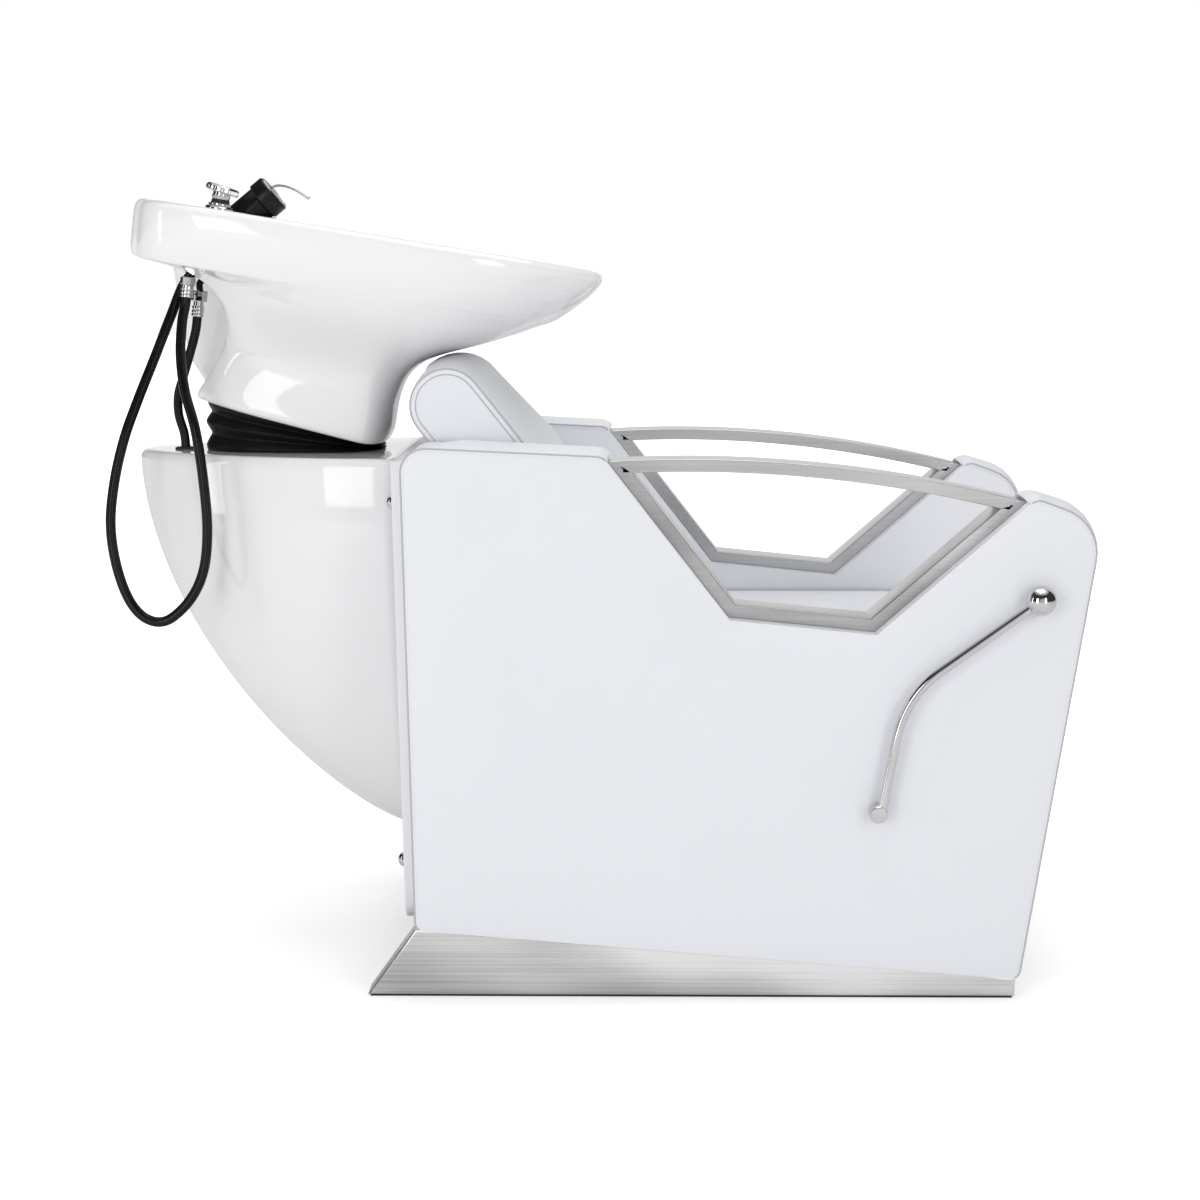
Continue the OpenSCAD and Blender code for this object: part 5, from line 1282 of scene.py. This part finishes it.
def crimped(r, high):
    """Profile of a ferrule that is pressed on to its hose in two rings."""
    rings = [[r, 3], [r - 0.9, 4], [r, 5], [r, 8], [r - 0.9, 9], [r, 10]]
    return eased([[0, 0], [r, 0], *rings, [r, high], [0, high]], 0.6)


def hexagon(r, low, high):
    """Profile of a hexagon nut between two heights."""
    return [[0, low], [r - 1, low], [r, low + 1], [r, high - 1], [r - 1, high], [0, high]]


def nut_ring(bore, r):
    """Profile of a bored nut 12 mm high."""
    return [[bore, 0], [r - 1, 0], [r, 1], [r, 11], [r - 1, 12], [bore, 12], [bore, 0]]


class STATION_OT_fittings(bpy.types.Operator):
    """Ferrules, nuts and tails in the hollow under the deck"""

    bl_idname = "station.fittings"
    bl_label = "Hose fittings"

    def execute(self, context):
        outlet = [
            lathe(crimped(HOSE_D / 2 + 2, 16), OUTLET, FERRULE_UP, 40),
            lathe(hexagon(10, 16, OUTLET_LEN), OUTLET, FERRULE_UP, 6),
        ]
        supply = [
            lathe(crimped(SUPPLY_D / 2 + 2, 14), SUPPLY, FERRULE_UP, 40),
            lathe([[0, 14], [6.5, 14], [6.5, 20], [0, 20]], SUPPLY, FERRULE_UP, 40),
            lathe(hexagon(10.5, 20, SUPPLY_LEN), SUPPLY, FERRULE_UP, 6),
        ]
        ring = lathe(nut_ring(16.05, 22), to_world([*MIXER, RECESS_TOP - 12]), UP, 6)
        guide = lathe(nut_ring(15.6, 20.5), to_world([*SHOWER, RECESS_TOP - 12]), UP, 6)
        piece("outlet_nut", outlet, "chrome", "basin", ["outlet_ferrule"], sharp=35)
        piece("supply_nut", supply, "chrome", "basin", ["supply_ferrule"], sharp=35)
        for name, points in (("outlet_tail", OUTLET_TAIL), ("supply_tail", SUPPLY_TAIL)):
            hose(name, "mixer_tails", points, TAIL_D, "basin", (-UP, -FERRULE_UP), steps=8, sides=16)
        piece("tap_nut", [ring], "chrome", "basin", ["mixer_nut"], sharp=35)
        piece("guide_ring_nut", [guide], "chrome", "basin", ["guide_nut"], sharp=35)
        return {"FINISHED"}


class STATION_OT_mixer(bpy.types.Operator):
    """Black mixer: leaning body, turning cap and thin lever"""

    bl_idname = "station.mixer"
    bl_label = "Mixer"

    def execute(self, context):
        low = to_world([*MIXER, RIM_H])
        end = -DECK_T - 22
        shank = lathe([[0, end], [16, end], [16, 0], [BODY_R, 0], [BODY_R, 1], [0, 1]], low, UP, 48)
        spokes = wheel(MIXER_SQUARE, ACROSS, 72)
        side = MIXER_FOOT + BODY_R * spokes
        hub = MIXER_FOOT + BODY_TOP * MIXER_AXIS
        lower = side - ((side - low) @ UP / (MIXER_AXIS @ UP))[:, None] * MIXER_AXIS
        share = np.array([0.0, 0.03, 0.5, 0.97, 1.0])[:, None, None]
        wall = lower + (side + BODY_TOP * MIXER_AXIS - lower) * share
        wall[-1] = hub + (BODY_R - 0.6) * spokes
        stub = lathe([[0, 14], [7, 14], [7, 20.5], [0, 20.5]], MIXER_FOOT, MIXER_AXIS, 32)
        skins = [shank, grid(wall), fan(wall[0], lower.mean(0)), fan(wall[-1], hub), stub]
        piece("tap_body", skins, "tap_black", "basin", ["mixer_body"], sharp=35)
        top, r = CAP_LOW + CAP_H, MIXER_R
        cap = [[0, CAP_LOW], [r - 2, CAP_LOW], [r, CAP_LOW + 2], [r, top - 2.4], [r - 2.4, top], [0, top]]
        skins = [lathe(eased(cap, 1.2), MIXER_FOOT, MIXER_AXIS, 72)]
        piece("tap_cap", skins, "tap_black", "mixer_cap", ["mixer_cap"], sharp=35)
        rim = [[r - 3.1, top - 0.6], [r - 2.6, top + 0.25], [r - 2.1, top - 0.5], [r - 3.1, top - 0.6]]
        piece("tap_rim", [lathe(rim, MIXER_FOOT, MIXER_AXIS, 72)], "chrome", "mixer_cap")
        end = [[0, 4.2], [1.5, 4.2], [1.9, 5.6], [1.2, 6.4], [0, 6.4]]
        piece("tap_pivot", [lathe(end, LEVER_PIN, [0, way, 0], 20) for way in (-1, 1)], "chrome", "mixer_cap")
        line = np.array([[0, 0], [6, 6], [15, 9.5], [28, 8], [42, 2], [55, -7]])
        path = route(LEVER_PIN + across_y(line, 0.0), 8)
        r = 1.5 + np.linspace(0, 1, len(path)) ** 2
        tip = lathe([[r[-1], 0], [r[-1], 0.6], [1.5, 2.2], [0, 2.6]], path[-1], path[-1] - path[-2], 20)
        ring = eased([[1.55, -3.5], [4.5, -3.5], [4.5, 3.5], [1.55, 3.5], [1.55, -3.5]], 0.6)
        skins = [tube(path, r, 20), tip, lathe(ring, LEVER_PIN, ACROSS, 32)]
        piece("tap_lever", skins, "chrome", "mixer_lever", ["mixer_lever"], sharp=50)
        return {"FINISHED"}


class STATION_OT_shower(bpy.types.Operator):
    """Chrome guide in the deck, and the hand shower that stands in it"""

    bl_idname = "station.shower"
    bl_label = "Hand shower"

    def execute(self, context):
        foot = to_world([*SHOWER, 0])
        high, low, r, bore = RIM_H + 4, RECESS_TOP - 16, GUIDE_R, GRIP_R + 0.1
        flange = eased([[bore, high], [r + 1.5, high], [r + 3, RIM_H + 1.6], [r + 3, RIM_H]], 1.0).tolist()
        guide = [*flange, [r, RIM_H], [r, low], [bore, low], [bore, high]]
        piece("deck_guide", [lathe(guide, foot, UP, 64)], "chrome", "basin", ["shower_guide"], sharp=40)
        collar, r = RIM_H + 4.3, GRIP_R
        stem = [[0, GRIP_LOW], [r, GRIP_LOW], [r, collar], [r + 2.5, collar], [r + 2.5, collar + 3]]
        waist = [[r, collar + 3.4], [r - 0.8, collar + 7], [r - 1.6, collar + 9]]
        skins = [lathe(eased([*stem, *waist, [r, GRIP_HIGH], [0, GRIP_HIGH]], 0.6), foot, UP, 64)]
        piece("shower_stem", skins, "chrome", "shower", ["shower_grip"], sharp=35)
        tilt = math.radians(9)
        face_up = unit(UP * math.cos(tilt) + ALONG * math.sin(tilt))
        lift = GRIP_HIGH + HEAD_R * math.sin(tilt)
        at = foot + lift * UP
        edge = [[0, 0], [19.6, 0], [HEAD_R, 1.4], [HEAD_R, 6.9], [19.9, 9.0], [18.4, 9.0]]
        disc = lathe(eased([*edge, [17.8, 8.2], [6.6, 7.6], [6, 8.2], [0, 8.4]], 0.7), at, face_up, 80)
        neck = lathe([[0, GRIP_HIGH], [11, GRIP_HIGH], [11, lift + 4], [0, lift + 4]], foot, UP, 48)
        knurl = studs([[0, 2.2], [0.7, 2.4], [0.7, 6.0], [0, 6.2]], at, face_up, 40, HEAD_R - 0.3, 8)
        piece("shower_disc", [disc, neck, *knurl], "chrome", "shower", ["shower_head"], sharp=35)
        jet = [[0, 7.4], [1.1, 7.4], [0.9, 9.0], [0, 9.2]]
        jets = studs(jet, at, face_up, 16, 14.6, 10) + studs(jet, at, face_up, 10, 10.2, 10)
        piece("shower_jets", jets, "foot_rubber", "shower")
        return {"FINISHED"}


# Cushions

DECK_H, SEAT_PAD_T = 393.0, 49.0
SEAT_REAR, SEAT_FRONT = 121.0, 577.0
BACK_FOOT, BACK_LEN, BACK_T = 147.0, 519.0, 92.0
BACK_SLOPE = math.radians(51.4)
BACK_AT = np.array([BACK_FOOT, DECK_H])
BACK_UP = np.array([-math.cos(BACK_SLOPE), math.sin(BACK_SLOPE)])
BACK_BEHIND = np.array([-math.sin(BACK_SLOPE), -math.cos(BACK_SLOPE)])
BACK_LOW = (SEAT_PAD_T + 9 + 8) / math.sin(BACK_SLOPE)
LEG_AT = np.array([556.0, 350.0])
LEG_LEN, LEG_FACE, LEG_REAR, HALF_LEG = 268.0, 14.0, -36.0, 183.0
LEG_DOWN = unit(np.array([-FRONT_LEAN, -1.0]))
LEG_FORWARD = unit(np.array([1.0, -FRONT_LEAN]))


def back_point(s, t):
    """X and Z of a point s up the back's face and t behind it."""
    return BACK_AT + s * BACK_UP + t * BACK_BEHIND


def leg_point(s, t):
    """X and Z of a point s down the leg rest from its hinge and t in front of it."""
    return LEG_AT + s * LEG_DOWN + t * LEG_FORWARD


def cushion(name, node, corners, hub, half, crown, draw, board, rise=0.8, body=ROOT):
    """A cushion with piping and a row of stitches beside its seams.

    The board it lies on is told by a point, the direction away from it and how near to it there are no seams.
    """
    s = sizes()
    r = s.piping_r / MM
    edge, swell = outline(corners)
    point, away, near = board
    skip = (edge - point) @ away < near
    skins = pad_skins(edge, swell, hub, 0.0, half, crown, draw, rise=rise, reach=40.0)
    piece(name, skins, "leatherette", body, [node], sharp=60)
    cords, threads = [], []
    half_edge = half - waist_of(edge, draw)
    for cheek in (-1, 1):
        seam = across_y(grown(edge, -0.2), cheek * (half_edge - 0.2))
        second = across_y(grown(edge, -s.seam_gap / MM), cheek * (half_edge + rise * 0.15 - 0.3))
        band = across_y(grown(edge, swell * crown * 0.1 + 0.1), cheek * (half_edge - s.stitch_inset / MM))
        for cord, inner, thread, out in runs(skip, seam, second, band, across_y(normals_of(edge), 0.0)):
            cords += tube(cord, r, 10) + tube(inner, r * 0.7, 8)
            threads.append(stitches(thread, out))
    trimmed(name, body, cords, threads)


class STATION_OT_seat(bpy.types.Operator):
    """Seat cushion and back cushion between the side panels"""

    bl_idname = "station.seat"
    bl_label = "Seat and back"

    def execute(self, context):
        top = DECK_H + SEAT_PAD_T
        mid = (SEAT_REAR + SEAT_FRONT) / 2
        half = HALF_SEAT - 3.5
        corners = [
            [SEAT_REAR, DECK_H, 4, 0],
            [SEAT_FRONT - 6, DECK_H, 10, 0],
            [SEAT_FRONT, top, 22, 0.8],
            [mid, top, 0, 1],
            [SEAT_REAR, top, 12, 0.3],
        ]
        board = ([0, DECK_H], [0, 1], 3)
        cushion("seat_pad", "seat_cushion", corners, [mid, DECK_H + SEAT_PAD_T / 2], half, 9.0, 1.0, board)
        places = (
            (BACK_LOW, 0, 14, 0.3),
            (BACK_LEN * 0.7, 0, 0, 1),
            (BACK_LEN, 0, 45.1, 0.5),
            (BACK_LEN, BACK_T, 45.1, 0.36),
            (BACK_LEN * 0.7, BACK_T, 0, 0),
            (BACK_LOW, BACK_T, 6, 0),
        )
        corners = [[*back_point(s, t), r, swell] for s, t, r, swell in places]
        board = (back_point(BACK_LOW, 0), BACK_UP, 3)
        hub = back_point((BACK_LOW + BACK_LEN) / 2, BACK_T / 2)
        cushion("back_pad", "back_cushion", corners, hub, half, 25.0, 2.0, board)
        return {"FINISHED"}


class STATION_OT_leg_rest(bpy.types.Operator):
    """Leg rest pad behind the panels' front edges"""

    bl_idname = "station.leg_rest"
    bl_label = "Leg rest"

    def execute(self, context):
        places = (
            (LEG_LEN, LEG_REAR, 4, 0),
            (LEG_LEN, LEG_FACE, 16, 0.6),
            (LEG_LEN / 2, LEG_FACE, 0, 1),
            (-12, LEG_FACE, 14, 0.3),
            (-12, LEG_REAR, 4, 0),
        )
        corners = [[*leg_point(s, t), r, swell] for s, t, r, swell in places]
        hub = leg_point(LEG_LEN / 2, (LEG_FACE + LEG_REAR) / 2)
        board = (leg_point(0, LEG_REAR), LEG_FORWARD, 1.5)
        cushion("leg_pad", "legrest_pad", corners, hub, HALF_LEG - 2.5, 8.0, 1.0, board, 2.0, "legrest")
        return {"FINISHED"}


# Side lever

LEVER_AT = np.array([349.0, 246.0])
LEVER_Y = -351.5
LEVER_R, BALL_R = 6.0, 18.5
ROD_START, ROD_END, ROD_BEND_R = math.radians(80), math.radians(36), 130.0


def rod_line():
    """The rod's centre line: straight up from the boss, an arc and straight on to the ball's middle."""
    foot = LEVER_AT + [4, 0]
    bend = foot + 95 * np.array([math.cos(ROD_START), math.sin(ROD_START)])
    mid = bend + ROD_BEND_R * np.array([math.sin(ROD_START), -math.cos(ROD_START)])
    a = np.linspace(ROD_START, ROD_END, 20)
    turn = mid + ROD_BEND_R * np.stack([-np.sin(a), np.cos(a)], 1)
    ball = turn[-1] + 147 * np.array([math.cos(ROD_END), math.sin(ROD_END)])
    return np.concatenate([[foot], turn, [ball]]), ball


class STATION_OT_side_lever(bpy.types.Operator):
    """Chrome side lever: collar, boss, bent rod and ball"""

    bl_idname = "station.side_lever"
    bl_label = "Side lever"

    def execute(self, context):
        foot = [LEVER_AT[0], -HALF_BODY, LEVER_AT[1]]
        flange = [[7.2, -60], [10, -60], [10, 0], [13, 0], [13, 1.4], [12.2, 2], [7.2, 2], [7.2, -60]]
        skins = [lathe(eased(flange, 0.5), foot, -ACROSS, 48)]
        piece("lever_collar", skins, "chrome", ROOT, ["lever_bush"], sharp=35)
        line, ball = rod_line()
        line[-1] = ball - BALL_R * 0.7 * unit(ball - line[-2])
        boss = eased([[0, 3], [9.8, 3], [11, 4.2], [11, 26.5], [9.6, 28.5], [0, 28.5]], 0.8)
        skins = [tube(across_y(line, LEVER_Y), LEVER_R, 32), lathe(boss, foot, -ACROSS, 48)]
        piece("lever_stem", skins, "chrome", "lever", ["lever_rod"], sharp=35)
        along = [math.cos(ROD_END), 0, math.sin(ROD_END)]
        a = np.linspace(0, math.pi, 41)
        globe = BALL_R * np.stack([np.sin(a), -np.cos(a)], 1)
        knob = lathe(globe, [ball[0], LEVER_Y, ball[1]], along, 64)
        piece("lever_ball", [knob], "chrome", "lever", ["lever_knob"], sharp=0)
        return {"FINISHED"}


# Waste line and the parts that keep their own solids

WASTE_AT = np.array([-345.0, 0.0, 560.0])
TAIL_END = to_world([DRAIN_X, 0, 26]) - SKIN * UP
WASTE_ROUTE = [
    WASTE_AT + [0, 0, SKIN],
    WASTE_AT + [0, 0, 40],
    [(WASTE_AT[0] + TAIL_END[0]) / 2 - 4, 0, WASTE_AT[2] + 85],
    TAIL_END - 30 * UP,
    TAIL_END,
]
KEPT = {
    "frame_steel": [
        "base_frame", "tilt_bracket", "basin_carrier", "legrest_arms", "lever_crank", "push_link",
    ],
    "board": ["seat_frame", "back_board", "legrest_board"],
    "pipe_grey": ["waste_pipe", "drain_tail"],
    "chrome": ["tilt_pins", "legrest_pins", "lever_shaft"],
    "foot_rubber": ["foot_strips"],
}


class STATION_OT_works(bpy.types.Operator):
    """Ribbed waste hose, and finishes on the frames, boards, pipes and pins that keep their own solids"""

    bl_idname = "station.works"
    bl_label = "Hidden works"

    def execute(self, context):
        path = route(WASTE_ROUTE, 28)
        share = np.linspace(0, 1, len(path))
        ribs = WASTE_D / 2 - 1.6 + 1.5 * np.cos(share * 2 * math.pi * 19) * (np.abs(share - 0.5) < 0.44)
        skins = tube(path, ribs, 32, first=(0, 0, 1), last=UP)
        bellows = piece("waste_bellows", skins, "gaiter_black", None, ["waste_hose"], sharp=70)
        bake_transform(bellows)
        for look, nodes in KEPT.items():
            for node in nodes:
                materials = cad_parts[node].data.materials
                materials.clear()
                materials.append(finish(look))
        return {"FINISHED"}


# Stage

FLOOR_LIFT, FLOOR_HALF = 0.37, 30.0
SKY = 0.6
CAMERA_AT = (0.037, -3.064, 0.899)
CAMERA_TURN = (math.radians(90 - 8.18), 0.0, math.radians(0.58))
CAMERA_LENS = 68.28


def lamp(name, at, aim, width, height, power):
    """A soft rectangular lamp that the camera doesn't see."""
    made = bpy.data.lights.new(name, "AREA")
    made.shape = "RECTANGLE"
    made.size, made.size_y = width, height
    made.energy = power
    obj = bpy.data.objects.new(name, made)
    obj.location = at
    obj.rotation_euler = (Vector(aim) - Vector(at)).to_track_quat("-Z", "Y").to_euler()
    obj.visible_camera = False
    bpy.context.scene.collection.objects.link(obj)


def seen(g):
    """Two masks: a ray from the camera or through glass, and a ray from a mirror."""
    path = g.add("ShaderNodeLightPath").outputs
    return g.maths("MAXIMUM", path["Is Camera Ray"], path["Is Transmission Ray"]), path["Is Glossy Ray"]


def floor_material():
    """White floor: it takes the shadow, and is lifted to white for the eye."""
    made = bpy.data.materials.new("floor")
    made.use_nodes = True
    g = Graph(made.node_tree)
    matt = g.add("ShaderNodeBsdfDiffuse", Color=(*colours().backdrop, 1)).outputs[0]
    direct, gloss = seen(g)
    at = g.add("ShaderNodeTexCoord").outputs["Object"]
    away = g.add("ShaderNodeVectorMath", {"operation": "LENGTH"}, i0=at).outputs["Value"]
    far = g.soft_step(away, 0.3, 2.2, FLOOR_LIFT, 1.0)
    lift = g.maths("MULTIPLY", g.maths("ADD", direct, g.maths("MULTIPLY", gloss, 0.1)), far)
    glow = g.add("ShaderNodeEmission", Color=(1, 1, 1, 1), Strength=lift).outputs[0]
    total = g.add("ShaderNodeAddShader", i0=matt, i1=glow).outputs[0]
    g.add("ShaderNodeOutputMaterial", Surface=total)
    return made


def studio_world():
    """White wherever the camera or glass looks.

    Mirrors see a grey room behind the camera, a dark belt round the sides, a bright ceiling and the backdrop.
    """
    world = bpy.data.worlds.new("studio")
    world.use_nodes = True
    g = Graph(world.node_tree)
    direct, gloss = seen(g)
    way = g.add("ShaderNodeSeparateXYZ", i0=g.add("ShaderNodeTexCoord").outputs["Generated"]).outputs
    room = g.soft_step(way[1], -0.98, -0.85, 0.62, 0.05)
    ceiling = g.soft_step(way[2], 0.7, 0.93, 0.0, 0.9)
    behind = g.soft_step(way[1], 0.82, 0.97, 0.0, 1.0)
    mirror = g.maths("MAXIMUM", g.maths("MAXIMUM", room, ceiling), behind)
    level = g.add("ShaderNodeMix", {"data_type": "FLOAT"}, i0=gloss, i2=SKY, i3=mirror).outputs[0]
    strength = g.add("ShaderNodeMix", {"data_type": "FLOAT"}, i0=direct, i2=level, i3=1.0).outputs[0]
    back = g.add("ShaderNodeBackground", Color=(1, 1, 1, 1), Strength=strength).outputs[0]
    g.add("ShaderNodeOutputWorld", Surface=back)
    bpy.context.scene.world = world


class STATION_OT_stage(bpy.types.Operator):
    """Camera, white floor, studio world and soft lamps"""

    bl_idname = "station.stage"
    bl_label = "Stage"

    def execute(self, context):
        scene = context.scene
        scene.view_settings.view_transform = "Standard"
        camera = bpy.data.cameras.new("camera")
        camera.lens = CAMERA_LENS
        camera.sensor_width = 36.0
        eye = bpy.data.objects.new("camera", camera)
        eye.location = CAMERA_AT
        eye.rotation_euler = CAMERA_TURN
        scene.collection.objects.link(eye)
        scene.camera = eye
        mesh = bpy.data.meshes.new("floor")
        mesh.from_pydata([(x * FLOOR_HALF, y * FLOOR_HALF, 0) for x, y in SQUARE], [], [(0, 1, 2, 3)])
        mesh.materials.append(floor_material())
        obj = bpy.data.objects.new("floor", mesh)
        scene.collection.objects.link(obj)
        studio_world()
        lamp("top", (0.2, 0.1, 2.6), (0.0, 0.0, 0.4), 2.4, 1.4, 17.0)
        lamp("box_left", (-1.6, -3.0, 1.05), (-0.2, 0.0, 0.6), 1.0, 1.9, 19.0)
        lamp("box_right", (1.7, -3.0, 1.05), (0.1, 0.0, 0.5), 0.8, 1.9, 14.0)
        lamp("strip_far", (-2.9, -1.0, 1.0), (-0.3, 0.0, 0.6), 0.3, 1.9, 5.5)
        return {"FINISHED"}


OPERATORS = (
    STATION_OT_stage,
    STATION_OT_hoses,
    STATION_OT_side_panels,
    STATION_OT_arm_rests,
    STATION_OT_base,
    STATION_OT_seat,
    STATION_OT_leg_rest,
    STATION_OT_rear_plate,
    STATION_OT_pedestal,
    STATION_OT_basin,
    STATION_OT_gaiter,
    STATION_OT_fittings,
    STATION_OT_mixer,
    STATION_OT_shower,
    STATION_OT_side_lever,
    STATION_OT_works,
)


class STATION_PT_panel(bpy.types.Panel):
    """The station's pieces, sizes and colours"""

    bl_label = "Shampoo station"
    bl_idname = "STATION_PT_panel"
    bl_space_type = "VIEW_3D"
    bl_region_type = "UI"
    bl_category = "Station"

    def draw(self, context):
        for title, group_of in (("Sizes", sizes()), ("Colours", colours())):
            box = self.layout.box()
            box.label(text=title)
            for key in group_of.__annotations__:
                box.prop(group_of, key)
        for operator in OPERATORS:
            self.layout.operator(operator.bl_idname)


CLASSES = (StationSizes, StationColours, *OPERATORS, STATION_PT_panel)


def register():
    for cls in CLASSES:
        bpy.utils.register_class(cls)
    bpy.types.Scene.station_sizes = bpy.props.PointerProperty(type=StationSizes)
    bpy.types.Scene.station_colours = bpy.props.PointerProperty(type=StationColours)


def unregister():
    del bpy.types.Scene.station_colours
    del bpy.types.Scene.station_sizes
    for cls in reversed(CLASSES):
        bpy.utils.unregister_class(cls)


def main():
    register()
    for operator in OPERATORS:
        getattr(bpy.ops.station, operator.bl_idname.split(".")[1])()


if __name__ == "__main__":
    main()
